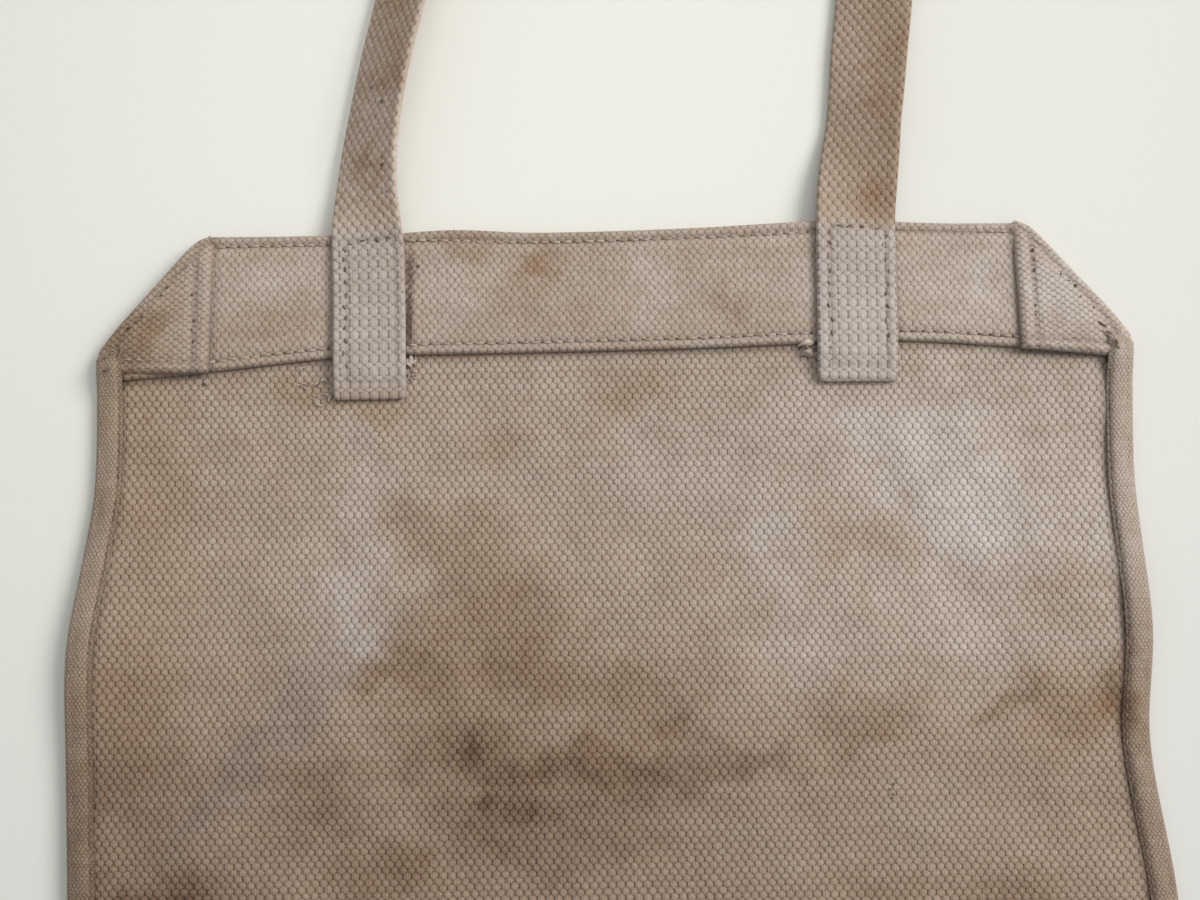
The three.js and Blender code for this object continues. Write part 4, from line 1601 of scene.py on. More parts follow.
    def binding(self, side: Side) -> Sheet:
        """Tape folded round a side edge: its top leg, the round of the edge and its lower leg.

        Towards the hem it thickens, because it runs up over the end of the folded corner.

        Args:
            side: which edge.

        Returns:
            The sheet.
        """
        s = side.value
        along = np.linspace(self.binding_from, self.binding_to, 200)[:, None]
        thicker = 1.35 * smooth(314, 324, along)
        radius = self.wall / 2 + self.binding_wall + self.gap + thicker
        legs = self.binding_width - radius
        top, lower = np.concatenate([[1.0, 0.985, 0.95], np.linspace(0.9, 0, 14)]), np.linspace(0, 1, 6)
        turn = np.linspace(0, np.pi, 10)[1:-1]
        share = np.concatenate([top, 0 * turn, lower])[None, :]
        angle = np.concatenate([0 * top, turn, np.pi + 0 * lower])[None, :]
        on_top = (np.arange(share.size) < top.size)[None, :]
        inset = share * legs
        edge = self.edge(side, along) - s * (radius + 0.9 * smooth(326.0, 330.4, along))
        x = edge + s * (radius * np.sin(angle) - inset)
        middle = self.underside(edge - s * inset, along) + self.wall / 2 + thicker
        from_edge = legs - inset
        soft = 0.8 * np.sin(np.pi * np.clip(1 - share, 0, 1)) + 0.55 * waves(RIPPLE, 2 * x, 1.6 * along)
        sewn = bell(from_edge - self.binding_sewn, 0.7) * on_top
        hump = on_top * (soft - 0.55 * sewn - 0.5 * bell(from_edge, 0.35))
        z = middle + radius * np.cos(angle) + hump
        outer = joined(x, along, np.maximum(z, 0.02))
        marks = flap_marks(outer[..., 0], outer[..., 1])
        # Painted shade in the sewn groove and along the tape's inner edge
        seam = np.clip(0.3 * sewn + 0.4 * on_top * bell(from_edge, 0.5), 0, 1)
        cloth = joined(from_edge + radius * angle, along)
        stitch = int(np.argmin(np.abs(from_edge[0, : top.size] - self.binding_sewn)))
        self.edging.row(outer[:-8, stitch] + np.array([0.0, 0.0, -0.1]), UP)
        marks = marks._replace(seam=seam, tone=marks.tone - 0.06 * (1 + s))
        if side is Side.LEFT:
            outer, cloth = outer[:, ::-1], cloth[:, ::-1]
            marks = Marks(*(values[:, ::-1] for values in marks))
        inner = outer - grid_normals(outer) * self.binding_wall * 0.9
        return Sheet(outer, inner, cloth, marks)

    def build(self, finishes: Finishes) -> None:
        """Builds and dresses the flap's pieces.

        Args:
            finishes: the shared materials.
        """
        panel = self.panel().build("flap_panel_cloth")
        dress(panel, finishes.webbing, "flap_panel")
        hem = self.hem().build("flap_hem_fold")
        dress(hem, finishes.turned, "flap_hem")
        for side in Side:
            corner = self.corner(side).build(f"flap_corner_{side.word}_fold")
            dress(corner, finishes.turned, f"flap_corner_{side.word}")
            binding = self.binding(side).build(f"flap_binding_{side.word}_tape")
            dress(binding, finishes.tape, f"flap_binding_{side.word}")
        self.sewing.build("flap", finishes, Slot.WEBBING)
        self.edging.build("flap_binding", finishes, Slot.TAPE, dark=True)
        dress(self.tacking.build("flap_corner_needle_holes"), finishes.hole)
        dress(self.knots.build("flap_corner_tacks"), finishes.grime)


@dataclass
class ClosingStrap:
    """A closing strap of flat webbing, sewn over the hem and twisting as it lies on the surface."""

    side: Side
    width: float = 25.4
    wall: float = 2.4
    pitch: float = 3.12
    row: float = 1.97
    relief: float = 0.3
    nose: float = 2.4
    box_left: float = 4.4
    box_right: float = 3.4
    box_start: float = 5.4
    sewn_to: float = 364.6
    sewing: Stitches = field(default_factory=lambda: Stitches(3.9, 1.9, 0.62, 0.05, stray=0.5))

    def middle(self, along: Array) -> Array:
        """The strap's middle line at places along the flap."""
        route = STRAP_ROUTES[self.side]
        return joined(through(route, "x", along), along, through(route, "z", along))

    def axes(self, along: Array) -> tuple[Array, Array]:
        """The strap's direction across and outward: level, then rolled about its run.

        Args:
            along: places along the flap.

        Returns:
            Both directions at each place.
        """
        run = unit(self.middle(along + 0.1) - self.middle(along - 0.1))
        level = unit(joined(run[..., 1], -run[..., 0], 0.0))
        upright = np.cross(level, run)
        roll = np.radians(through(STRAP_ROUTES[self.side], "roll", along))[..., None]
        across = level * np.cos(roll) + upright * np.sin(roll)
        return across, np.cross(across, run)

    def sheet(self) -> Sheet:
        """The webbing: a flat band with rounded edges, a turned-under nose and nubs in relief.

        Returns:
            The sheet.
        """
        route = STRAP_ROUTES[self.side]
        first, last = route[0].y, route[-1].y
        along = first + edged(590, last - first, 2.0)
        across = edged(46, self.width, 1.1) - self.width / 2
        from_nose = (along - first)[:, None]
        trim = self.nose - np.sqrt(np.clip(from_nose * (2 * self.nose - from_nose), 0, None))
        trim = np.where(from_nose < self.nose, trim * 0.7, 0.0)
        reach = across[None, :] * (1 - trim / (self.width / 2))
        over, out = self.axes(along)
        middle = self.middle(along)[:, None, :] + over[:, None, :] * reach[..., None]
        to_side = self.width / 2 - np.abs(across)[None, :]
        to_end = np.minimum(from_nose, (last - along)[:, None])
        edge = rounding(np.minimum(to_side, 1.1), 1.1) * rounding(to_end, self.nose)
        doubled = 0.5 * (1 - smooth(9, 13, from_nose))
        half = (self.wall / 2 - 0.2 + doubled) * edge
        lengthways = along[:, None] + 0.0 * reach
        on_hem = 1 - smooth(352, 370, lengthways)
        uneven = 0.06 + 0.42 * on_hem
        nubs = nub_height(reach, lengthways, self.pitch, self.row, uneven)
        sewn = self._sewn(reach, lengthways)
        relief = self.relief * (1 - 0.4 * on_hem) * (nubs - 0.3) * np.clip(edge, 0.35, 1) - 0.4 * sewn
        normals = np.broadcast_to(out[:, None, :], middle.shape)
        upper = middle + normals * (half + relief)[..., None]
        lower = middle - normals * (half + self.relief * (nubs - 0.6))[..., None]
        lower[..., 2] = np.maximum(lower[..., 2], 0.02)
        marks = self._marks(reach, lengthways, sewn)
        return Sheet(upper, lower, joined(reach, lengthways), marks, uneven)

    def _box(self) -> tuple[float, float, float, float]:
        """The sewn box: left, right, lower and upper lines."""
        half, first = self.width / 2, STRAP_ROUTES[self.side][0].y
        return -half + self.box_left, half - self.box_right, first + self.box_start, self.sewn_to

    def _sewn(self, across: Array, along: Array) -> Array:
        """How near a point is to the box of sewing, from 0 to 1.

        Args:
            across: places from its middle.
            along: places along the flap.

        Returns:
            The nearness.
        """
        left, right, lower, upper = self._box()
        inside_x = smooth(left - 1, left, across) * (1 - smooth(right, right + 1, across))
        inside_y = smooth(lower - 1, lower, along) * (1 - smooth(upper, upper + 1, along))
        upright = bell(across - left, 0.75) + bell(across - right, 0.75)
        level = bell(along - lower, 0.75) + bell(along - upper, 0.75)
        return np.clip(upright * inside_y + level * inside_x, 0, 1)

    def _marks(self, across: Array, along: Array, sewn: Array) -> Marks:
        """Paler and greyer where it is sewn down, browner towards one edge and upwards beyond that, with
        painted shade at the turned-under nose and in the sewn grooves.

        Args:
            across: places from its middle.
            along: places along the flap.
            sewn: how near they are to the sewing.

        Returns:
            The marks.
        """
        free = smooth(364, 372, along)
        brown = smooth(-6, 12, across) if self.side is Side.RIGHT else smooth(380, 440, along)
        pale = 0.34 + 0.06 * self.side.value
        reddish = 0.19 - 0.13 * self.side.value - 0.34 * brown
        tone = blend(pale - 0.1 * smooth(340, 360, along), reddish, free)
        tone = tone + (0.1 * np.sin(0.11 * along + 0.2 * across) + 0.06 * (1 - self.side.value)) * free
        if self.side is Side.LEFT:
            tone = tone + 0.42 * smooth(9.8, 11.4, across) * free
        warm = blend(-0.8, 1.0 + 0.8 * brown, free)
        first = STRAP_ROUTES[self.side][0].y
        # Painted shade: darker and browner at the turned-under nose, under its rounded end
        end = (0.22 - 0.14 * self.side.value) * (1 - smooth(first + 1, first + 6, along))
        rust = (0.34 - 0.02 * self.side.value) * free + specked(STRAP_RUST[self.side], across, along)
        return Marks(tone - end, warm + 1.5 * end, rust, 0.18 * sewn)

    def sew(self) -> None:
        """Sews the box that holds the strap on the hem."""
        left, right, lower, upper = self._box()
        lines = [(left, lower, left, upper), (left, upper, right, upper)]
        if self.side is Side.RIGHT:
            lines += [(right, upper, right, lower), (left, lower, right, lower)]
        share = np.linspace(0, 1, 40)
        for x0, y0, x1, y1 in lines:
            along = blend(y0, y1, share)
            over, out = self.axes(along)
            path = self.middle(along) + over * blend(x0, x1, share)[:, None] + out * (self.wall / 2 - 0.25)
            self.sewing.row(path, out)

    def build(self, finishes: Finishes) -> None:
        """Builds and dresses the strap and its sewing.

        Args:
            finishes: the shared materials.
        """
        name = f"strap_{self.side.word}"
        strap = self.sheet().build(f"{name}_webbing")
        dress(strap, finishes.strap, name)
        self.sew()
        dress(self.sewing.build(f"{name}_needle_holes"), finishes.grime)


class TuftRow(NamedTuple):
    """A frayed place: middle, spread, heading and fan in degrees, and its fibres' count and size."""

    x: float
    y: float
    z: float
    spread: float
    heading: float
    fan: float
    count: int
    length: float
    thick: float


TUFTS = table(
    TuftRow,
    (-67.4, 324.6, 3.9, 0.9, -15, 60, 9, 2.3, 1.4),
    (-66.6, 320.4, 3.5, 1.1, -60, 60, 8, 2.4, 0.45),
    (63.8, 328.8, 4.8, 0.6, 188, 20, 3, 4.0, 2.2),
    (63.6, 325.2, 4.2, 0.6, 200, 25, 3, 3.4, 2.2),
    (63.6, 326.5, 4.6, 1.6, 200, 60, 12, 3.6, 0.34),
    (-99, 317.6, 3.4, 6.0, 20, 60, 11, 3.0, 0.6),
    (-162.5, 328.0, 7.4, 1.6, -60, 80, 9, 1.8, 0.34),
    (161.5, 328.0, 7.4, 1.6, 200, 80, 9, 1.8, 0.34),
    (-91.5, 314.5, 3.4, 1.0, 200, 50, 7, 3.0, 0.26),
)


@dataclass
class LooseFibres:
    """Cotton fibres that stand out of frayed places: square tubes that rise, bend over and come down."""

    seed: int = 11
    rings: int = 6

    def build(self, finishes: Finishes) -> None:
        """Builds and dresses the fibres of every tuft as one piece.

        A fibre starts near its tuft's middle, runs its length along a heading within the fan, swings
        sideways by half a wave and rises by a parabola.

        Args:
            finishes: the shared materials.
        """
        chance = np.random.default_rng(self.seed)
        rows = np.repeat(np.array(TUFTS), [tuft.count for tuft in TUFTS], axis=0)
        x, y, z, spread, heading, fan, _, length, thick = rows.T
        count = len(rows)
        turn = np.radians(heading + fan * chance.normal(0.0, 0.6, count))
        ahead = joined(np.cos(turn), np.sin(turn), 0.0)
        sideways = joined(-np.sin(turn), np.cos(turn), 0.0)
        flat = np.array([1.0, 1.0, 0.1])
        start = joined(x, y, z) + chance.normal(0.0, 0.6, (count, 3)) * spread[:, None] * flat
        reach = length * chance.uniform(0.6, 1.25, count)
        share = np.linspace(0, 1, self.rings)
        swing = (chance.normal(0.0, 0.3, count) * reach)[:, None] * np.sin(np.pi * share)
        rise = (chance.uniform(0.12, 0.4, count) * reach)[:, None] * 4 * share * (1 - share) - 0.4 * share
        middle = start[:, None] + ahead[:, None] * (reach[:, None] * share)[..., None]
        middle = middle + sideways[:, None] * swing[..., None] + UP * rise[..., None]
        radius = (thick / 2)[:, None] * (1 - 0.6 * share**2)
        ring = sideways[:, None, None] * np.cos(SQUARE)[:, None] + UP * np.sin(SQUARE)[:, None]
        cloud = middle[:, :, None] + ring * radius[..., None, None]
        piece = put_mesh("loose_fibres", cloud.reshape(-1, 3), tube_quads(self.rings, count), {})
        dress(piece, finishes.fluff)


@dataclass
class BuckleSet:
    """A buckle on a doubled tab of webbing that is sewn to the pack.

    seat is where the tab's sewn end lies, and axes holds the directions along it, across it and outward.
    """

    name: str
    rests_on: str
    seat: Array
    axes: Array
    bars: int
    width: float = 24.0
    wall: float = 1.6
    sewn: float = 40.0
    standoff: float = 0.35
    loop: float = 4.0
    bar: float = 3.0
    thick: float = 2.6
    inside: float = 26.4
    pitch: float = 12.0
    bend: float = 3.2
    facets: int = 12
    sewing: Seam = field(default_factory=lambda: Seam.of(2.9, 2.2, 0.7))

    @property
    def bar_height(self) -> float:
        """How far the buckle's bars lie over the seat."""
        return self.standoff + self.loop

    def placed(self, local: Array) -> Array:
        """Points of the set, moved to its place on the pack."""
        return self.seat + local @ self.axes

    def top(self, along: Array) -> Array:
        """The height of the tab's upper leg at places along it, down from the loop to its end."""
        doubled = self.standoff + 2 * self.wall + 0.3
        back = (self.sewn - along) / (self.sewn - 1)
        return blend(self.standoff + 2 * self.loop, doubled, smooth(0, 0.75, back))

    def tab(self) -> Sheet:
        """The tab: its lower leg, the loop round the bar and its upper leg, carried across its width.

        Returns:
            The sheet.
        """
        lower = edged(14, self.sewn, 1.5)[:-1]
        turn = np.linspace(0, np.pi, 18)
        upper = self.sewn - edged(26, self.sewn - 1, 1.5)[1:]
        x = np.concatenate([lower, self.sewn + self.loop * np.sin(turn), upper])
        rise = self.bar_height - self.loop * np.cos(turn)
        z = np.concatenate([np.full(len(lower), self.standoff), rise, self.top(upper)])
        across = edged(22, self.width, 1.0) - self.width / 2
        local = joined(x[:, None], across[None, :], z[:, None])
        run = np.concatenate([[0.0], np.cumsum(np.hypot(np.diff(x), np.diff(z)))])[:, None]
        ends = rounding(np.minimum(run, run[-1] - run), 1.0)
        edge = ends * rounding(self.width / 2 - np.abs(across)[None, :], 1.0)
        cloth = joined(across[None, :], run)
        marks = pack_marks(across[None, :] + self.seat[0], run + self.seat[1])
        frayed = bell(self.width / 2 - np.abs(across), 1.2)[None, :]
        marks = marks._replace(tone=marks.tone + 0.25 * frayed, warm=marks.warm + 0.2)
        sheet = Sheet.walled(self.placed(local), self.wall, edge, cloth, marks)
        sheet.uneven = 0.1
        return sheet

    def sew(self) -> None:
        """Sews the tab down: a box with a cross in it near its end."""
        left, right, near, far = -8.5, 8.5, 4.0, 23.0
        lines = (
            (near, left, far, left),
            (near, right, far, right),
            (near, left, near, right),
            (far, left, far, right),
            (near, left, far, right),
            (near, right, far, left),
        )
        share = np.linspace(0, 1, 30)
        for x0, y0, x1, y1 in lines:
            along = blend(x0, x1, share)
            local = joined(along, blend(y0, y1, share), self.top(along) + 0.02)
            self.sewing.row(self.placed(local), self.axes[2:3])

    def wire(self) -> tuple[Array, Array]:
        """The buckle: a round-cornered frame of oval wire, with a bar across its middle where it has three.

        The frame's middle line is a rectangle whose corners are quarter circles. The oval stands across it.

        Returns:
            Its points and its faces.
        """
        long, half = (self.bars - 1) * self.pitch, (self.inside + self.bar) / 2
        turn = np.linspace(0, np.pi / 2, 7)
        corners = ((long, half), (0.0, half), (0.0, -half), (long, -half))
        middle, outward = [], []
        for (x, y), start in zip(corners, np.radians([0, 90, 180, 270])):
            way = joined(np.cos(start + turn), np.sin(start + turn))
            centre = np.array([x, y]) - self.bend * np.sign([np.cos(start + 0.8), np.sin(start + 0.8)])
            middle.append(centre + self.bend * way)
            outward.append(way)
        middle, outward = np.concatenate(middle), np.concatenate(outward)
        around = np.linspace(0, 2 * np.pi, self.facets, endpoint=False)
        ring_out, ring_up = self.bar / 2 * np.cos(around), self.thick / 2 * np.sin(around)
        plan = middle[:, None] + outward[:, None] * ring_out[:, None]
        frame_points = np.concatenate([plan, np.broadcast_to(ring_up[:, None], plan.shape[:2] + (1,))], -1)
        index = np.arange(plan[..., 0].size).reshape(plan.shape[:2])
        ahead, beside = np.roll(index, -1, 0), np.roll(index, -1, 1)
        quads = joined(index, ahead, np.roll(ahead, -1, 1), beside).reshape(-1, 4)
        points = frame_points.reshape(-1, 3)
        if self.bars == 3:
            bar_points, bar_quads = self._middle_bar(around, half)
            quads = np.concatenate([quads, bar_quads + len(points)])
            points = np.concatenate([points, bar_points])
        return points + np.array([self.sewn, 0.0, self.bar_height]), quads

    def _middle_bar(self, around: Array, half: float) -> tuple[Array, Array]:
        """A straight oval bar between the frame's sides, closed by faces across its ends.

        Args:
            around: angles round the wire.
            half: half the bar's length.

        Returns:
            Its points and its faces.
        """
        spans, slim = 5, 0.92
        along = np.linspace(-half, half, spans + 1)[:, None]
        x = self.pitch + slim * self.bar / 2 * np.cos(around)[None, :]
        z = slim * self.thick / 2 * np.sin(around)[None, :]
        points = joined(x, along, z).reshape(-1, 3)
        index = np.arange(len(points)).reshape(-1, self.facets)
        beside = np.roll(index, -1, 1)
        sides = joined(index[:-1], index[1:], beside[1:], beside[:-1]).reshape(-1, 4)
        fan = np.array([[0, first, first + 1, first + 2] for first in range(1, self.facets - 2, 2)])
        return points, np.concatenate([sides, fan, fan[:, ::-1] + spans * self.facets])

    def build(self, finishes: Finishes) -> None:
        """Builds and dresses the tab, its sewing and the buckle.

        Args:
            finishes: the shared materials.
        """
        tab = self.tab().build(f"{self.name}_tab")
        dress(tab, finishes.strap, f"{self.name}_chape")
        points, quads = self.wire()
        buckle = put_mesh(f"{self.name}_wire_buckle", self.placed(points), quads, {})
        dress(buckle, finishes.brass, f"{self.name}_buckle")
        self.sew()
        self.sewing.build(self.name, finishes, Slot.STRAP)


FRONT_CREASES = table(
    FoldRow,
    (-120, -45, 25, 55, 10, -3.6),
    (-96, -78, 38, 60, 9, 2.6),
    (130, -55, 155, 50, 10, -3.4),
    (108, -92, 142, 55, 9, 2.6),
    (-40, -125, 28, 70, 12, 3.0),
    (60, -145, 150, 60, 11, -3.0),
    (0, -66, 4, 80, 12, -2.4),
    (-112, -200, 72, 60, 11, 2.9),
    (-132, -240, 84, 50, 9, -2.4),
    (115, -220, 102, 60, 12, 2.8),
    (138, -262, 95, 44, 9, -2.2),
    (-20, -235, 168, 70, 13, -2.6),
    (34, -272, 18, 55, 10, 2.2),
)
GUSSET_CREASES = table(
    FoldRow,
    (146, 38, 68, 42, 9, 3.4),
    (172, 42, 96, 40, 8, -2.6),
    (200, 45, 108, 42, 10, -3.2),
    (238, 36, 80, 40, 10, 3.2),
    (410, 44, 70, 34, 10, -2.4),
    (445, 40, 25, 55, 11, 2.6),
    (540, 34, 160, 60, 12, -2.8),
    (600, 48, 120, 34, 9, 2.2),
    (640, 46, 15, 50, 11, 2.4),
    (842, 40, 108, 42, 10, 3.2),
    (872, 40, 84, 40, 8, -2.6),
    (900, 44, 72, 40, 10, -3.0),
    (936, 36, 100, 40, 10, 3.0),
)
# The front's grid lines across its hem, closer together along the sewing and the edge
MOUTH_LINES = (
    -25.5, -24.6, -24, -23.4, -22, -21.3, -20.5, -19.7, -18.6, -15, -11,
    -7, -5, -4.2, -3.5, -2.8, -2, -1, -0.5, -0.1, 0,
)
FRONT_BLOTS = table(
    BlotRow,
    (-70, -185, 58, 38, 20, -0.4, 0.4),
    (64, -92, 46, 24, -15, -0.35, 0.5),
    (24, -300, 64, 24, 5, -0.35, 0.3),
    (-22, -58, 40, 14, 0, 0.35, -0.3),
    (108, -225, 34, 48, 10, 0.4, -0.4),
    (-122, -322, 24, 28, 0, 0.3, -0.2),
    (-128, -92, 16, 38, 0, 0.35, -0.2),
    (6, -205, 20, 12, 30, -0.45, 0.3),
    (96, -330, 14, 10, 0, -0.5, 0.2),
)


class Outline(NamedTuple):
    """Points of the pack's outline and its outward direction there."""

    x: Array
    y: Array
    out_x: Array
    out_y: Array


@dataclass
class PackBody:
    """The pack's body, on its back: a hollow shell of a back, a front and a wall between, open at the mouth.

    The outline is one run: down the left side, across the base and up the right side.
    """

    half: float = 165.0
    height: float = 381.0
    corner: float = 22.0
    wall: float = 2.0
    front_roll: float = 10.0
    back_roll: float = 8.0
    base_bow: float = 5.0
    gap: float = 0.3
    lap_step: float = 2.4
    mouth_hem: float = 24.0
    mouth_rows: tuple[float, float] = (3.5, 20.5)
    wall_width: float = 80.0
    closing_x: float = 79.3
    closing_y: float = -366.0
    shoulder_height: float = 0.42
    tab: float = 40.0
    sewing: Seam = field(default_factory=lambda: Seam.of(3.6, 2.8, 0.75))

    @property
    def side_run(self) -> float:
        """The straight length of a side."""
        return self.height - self.corner

    @property
    def corner_run(self) -> float:
        """The length of a base corner."""
        return self.corner * np.pi / 2

    @property
    def outline_run(self) -> float:
        """The length of the whole outline."""
        return 2 * self.side_run + 2 * self.corner_run + 2 * (self.half - self.corner)

    def half_width(self, y: Array) -> Array:
        """Half the pack's width at places along it."""
        into = np.maximum(0.0, self.corner - (y + self.height))
        return self.half - self.corner + np.sqrt(np.maximum(0.0, self.corner**2 - into**2))

    def inside(self, x: Array, y: Array) -> Array:
        """How far points lie inside the outline, which is straight at the mouth and round at the base.

        Args:
            x: places across.
            y: places along.

        Returns:
            The distances.
        """
        to_side, to_base = self.half - np.abs(x), y + self.height
        round_off = self.corner - np.hypot(self.corner - to_side, self.corner - to_base)
        in_corner = (to_side < self.corner) & (to_base < self.corner)
        return np.where(in_corner, round_off, np.minimum(to_side, to_base))

    @staticmethod
    def roll_away(distance: Array, radius: float) -> Array:
        """How far a panel has turned away at a distance from its edge, as a quarter circle."""
        d = np.clip(distance, 0.0, radius)
        return radius - np.sqrt(d * (2 * radius - d))

    def front_height(self, x: Array, y: Array) -> Array:
        """The front before its edges turn down: sagging between its sides, with broad folds.

        Args:
            x: places across.
            y: places along.

        Returns:
            The height there.
        """
        span = 1 - (x / self.half) ** 2
        folds = fold_height(FRONT_FOLDS, x, y) * span
        lip = waves(LIP, x, y) * smooth(-110, 0, y) * span
        return through(PACK_SECTIONS, "rise", y) - through(PACK_SECTIONS, "sag", y) * span + folds + lip

    @staticmethod
    def slump(points: Array) -> Array:
        """Points of the body moved as soft cloth settles.

        Slow waves shift them sideways, along and down. The move is nothing on the floor and grows towards
        the top, so that seams lose their straight lines while pieces keep their distance from each other.

        Args:
            points: in millimetres, before the move.

        Returns:
            The moved points.
        """
        x, y, z = np.moveaxis(np.asarray(points, float), -1, 0)
        up = smooth(6, 92, z)
        return joined(x + up * waves(SWAY, x, y), y + up * waves(NOD, x, y), z + up * waves(SINK, x, y))

    @staticmethod
    def pucker(run: Array, off: Array) -> Array:
        """The gathers along a seam: a wave along it whose length wanders, fading over a centimetre."""
        short = 0.24 * np.sin(0.46 * run + 2.2 * np.sin(0.05 * run))
        gathers = short + 0.34 * np.sin(0.23 * run + 3 * np.sin(0.031 * run))
        return gathers * np.exp(-off / 8.0) * smooth(0.3, 3.0, off)

    def back_height(self, y: Array) -> Array:
        """The back's underside: flat, with a step up over the lap of the flap."""
        return self.lap_step * smooth(-22, -14, y)

    def turned_hem(self, into: Array) -> Array:
        """The rise of the mouth's hem at a distance into the pack, sunk along its two rows of sewing."""
        rows = sum(bell(into - row, 0.9) for row in self.mouth_rows)
        return 1.0 * (1 - smooth(self.mouth_hem - 0.8, self.mouth_hem, into)) - 0.5 * rows

    def front_skin(self, x: Array, y: Array) -> Array:
        """The front's outer skin: its height with creases and hem, less its turned edges.

        Args:
            x: places across.
            y: places along.

        Returns:
            The height there.
        """
        inside = self.inside(x, y)
        calm = smooth(-320, -292, y) * smooth(4, 26, inside)
        creases = calm * fold_height(FRONT_CREASES, x, y) + smooth(2, 12, inside) * 0.8 * waves(RIPPLE, x, y)
        creases = creases + self.pucker(np.abs(x) + y, inside)
        high = self.front_height(x, y) + creases + self.turned_hem(-y) * smooth(1, 5, self.half - np.abs(x))
        return high - self.roll_away(inside, self.front_roll)

    def outline(self, run: Array) -> Outline:
        """The outline at distances along it: straight sides, quarter circles and the straight base.

        Args:
            run: distances from the mouth's left end.

        Returns:
            The outline there.
        """
        mirrored = run > self.outline_run / 2
        s = np.where(mirrored, self.outline_run - run, run)
        flip = np.where(mirrored, -1.0, 1.0)
        turn = np.clip((s - self.side_run) / self.corner, 0, np.pi / 2)
        out_x, out_y = -np.cos(turn) * flip, -np.sin(turn)
        x = flip * (self.corner - self.half) + self.corner * out_x
        x = x + flip * np.maximum(0.0, s - self.side_run - self.corner_run)
        y = np.maximum(-s, self.corner - self.height) + self.corner * out_y
        return Outline(x, y, out_x, out_y)

    def gusset_point(self, run: Array, share: Array, detail: bool = True) -> Array:
        """The wall between back and front, bowed out between them, with creases and the hem at the mouth.

        Args:
            run: distances along the outline.
            share: places up the wall, from 0 to 1.
            detail: whether to add the creases and the hem.

        Returns:
            Points on its outer skin.
        """
        run, share = np.broadcast_arrays(np.asarray(run, float), np.asarray(share, float))
        at = self.outline(run)
        low = self.back_height(at.y) + self.back_roll + self.gap
        high = self.front_height(at.x, at.y) - self.front_roll - self.gap
        side_bow = through(PACK_SECTIONS, "bow", at.y) * at.out_x**2
        base_bow = self.base_bow * at.out_y**2 * (1 - (at.x / self.half) ** 2)
        wave = np.sin(np.pi * share)
        out = (side_bow + base_bow) * wave
        if detail:
            into, up = np.minimum(run, self.outline_run - run), self.wall_width * share
            calm = smooth(112, 134, into) * (1 - smooth(256, 276, into)) + smooth(352, 372, into)
            out = out + calm * wave * fold_height(GUSSET_CREASES, run, up)
            out = out + 0.8 * wave * waves(RIPPLE, run, up) * calm
            out = out + self.pucker(run, np.minimum(up, self.wall_width - up))
            out = out + self.turned_hem(into) * smooth(0, 0.06, share) * (1 - smooth(0.94, 1, share))
        return joined(at.x + at.out_x * out, at.y + at.out_y * out, blend(low, high, share))

    def panel_grid(self, roll: float, middle: int, rows: Array) -> tuple[Array, Array]:
        """Points of a panel's plan, close together where its edges turn away.

        Args:
            roll: the radius of the turned edges.
            middle: columns between them.
            rows: places along the pack past the base's turned edge.

        Returns:
            Places across and along.
        """
        near = roll * np.linspace(0, 1, 11) ** 2
        edge = 1 - near / self.half
        share = np.concatenate([-edge, np.linspace(-edge[-1], edge[-1], middle)[1:-1], edge[::-1]])[None, :]
        y = np.concatenate([near - self.height, rows])[:, None]
        x = share * self.half_width(y)
        return x, y + np.zeros_like(x)

    def front(self) -> Sheet:
        """The front panel, with its mouth edge rounded.

        Returns:
            The sheet.
        """
        from_base = np.linspace(self.front_roll - self.height, -27, 128)[1:]
        x, y = self.panel_grid(self.front_roll, 128, np.concatenate([from_base, MOUTH_LINES]))
        skin = self.slump(joined(x, y, self.front_skin(x, y)))
        inside = self.inside(x, y)
        # Painted shade along the sewn edge, the rolled edge and the mouth hem's edge
        seam = 0.35 * bell(inside - 2.6, 0.9) + 0.5 * bell(inside, 0.8)
        seam = seam + 0.4 * bell(y + 24.2, 0.7)
        marks = pack_marks(x, y)
        rubbed = 0.4 * bell(inside - 5.0, 4.0)
        tone, warm = blotted(marks.tone + rubbed, marks.warm - rubbed, FRONT_BLOTS, x, y)
        marks = Marks(tone, warm, marks.rust, np.clip(seam, 0, 1))
        return Sheet.walled(skin, self.wall, rounding(-y, 1.0), joined(x, y), marks)

    def back(self) -> Sheet:
        """The back panel, with its outer side down.

        Returns:
            The sheet.
        """
        from_base, lap = np.linspace(self.back_roll - self.height, -24, 80)[1:], np.linspace(-23, 0, 16)
        x, y = self.panel_grid(self.back_roll, 80, np.concatenate([from_base, lap]))
        x, y = x[:, ::-1], y[:, ::-1]
        inside = self.inside(x, y)
        z = self.back_height(y) + self.roll_away(inside, self.back_roll)
        z = z + 0.5 * np.abs(waves(RIPPLE, x, y)) * smooth(-381, -340, y) * (1 - smooth(-40, -24, y))
        # Painted shade along the back's rolled edge
        seam = 0.5 * bell(inside, 0.8)
        marks = pack_marks(x + 90, y - 140)._replace(seam=seam)
        skin = self.slump(joined(x, y, z))
        return Sheet.walled(skin, self.wall, rounding(-y, 1.0), joined(x, y), marks)

    def gusset(self, runs: Array) -> Sheet:
        """A length of the wall between back and front.

        Args:
            runs: distances along the outline.

        Returns:
            The sheet.
        """
        share = edged(40, 1.0, 0.03)[:, None]
        run = runs[None, :]
        skin = self.slump(self.gusset_point(run, share))
        into = np.minimum(run, self.outline_run - run)
        up = self.wall_width * share
        edge = np.minimum(up, self.wall_width - up)
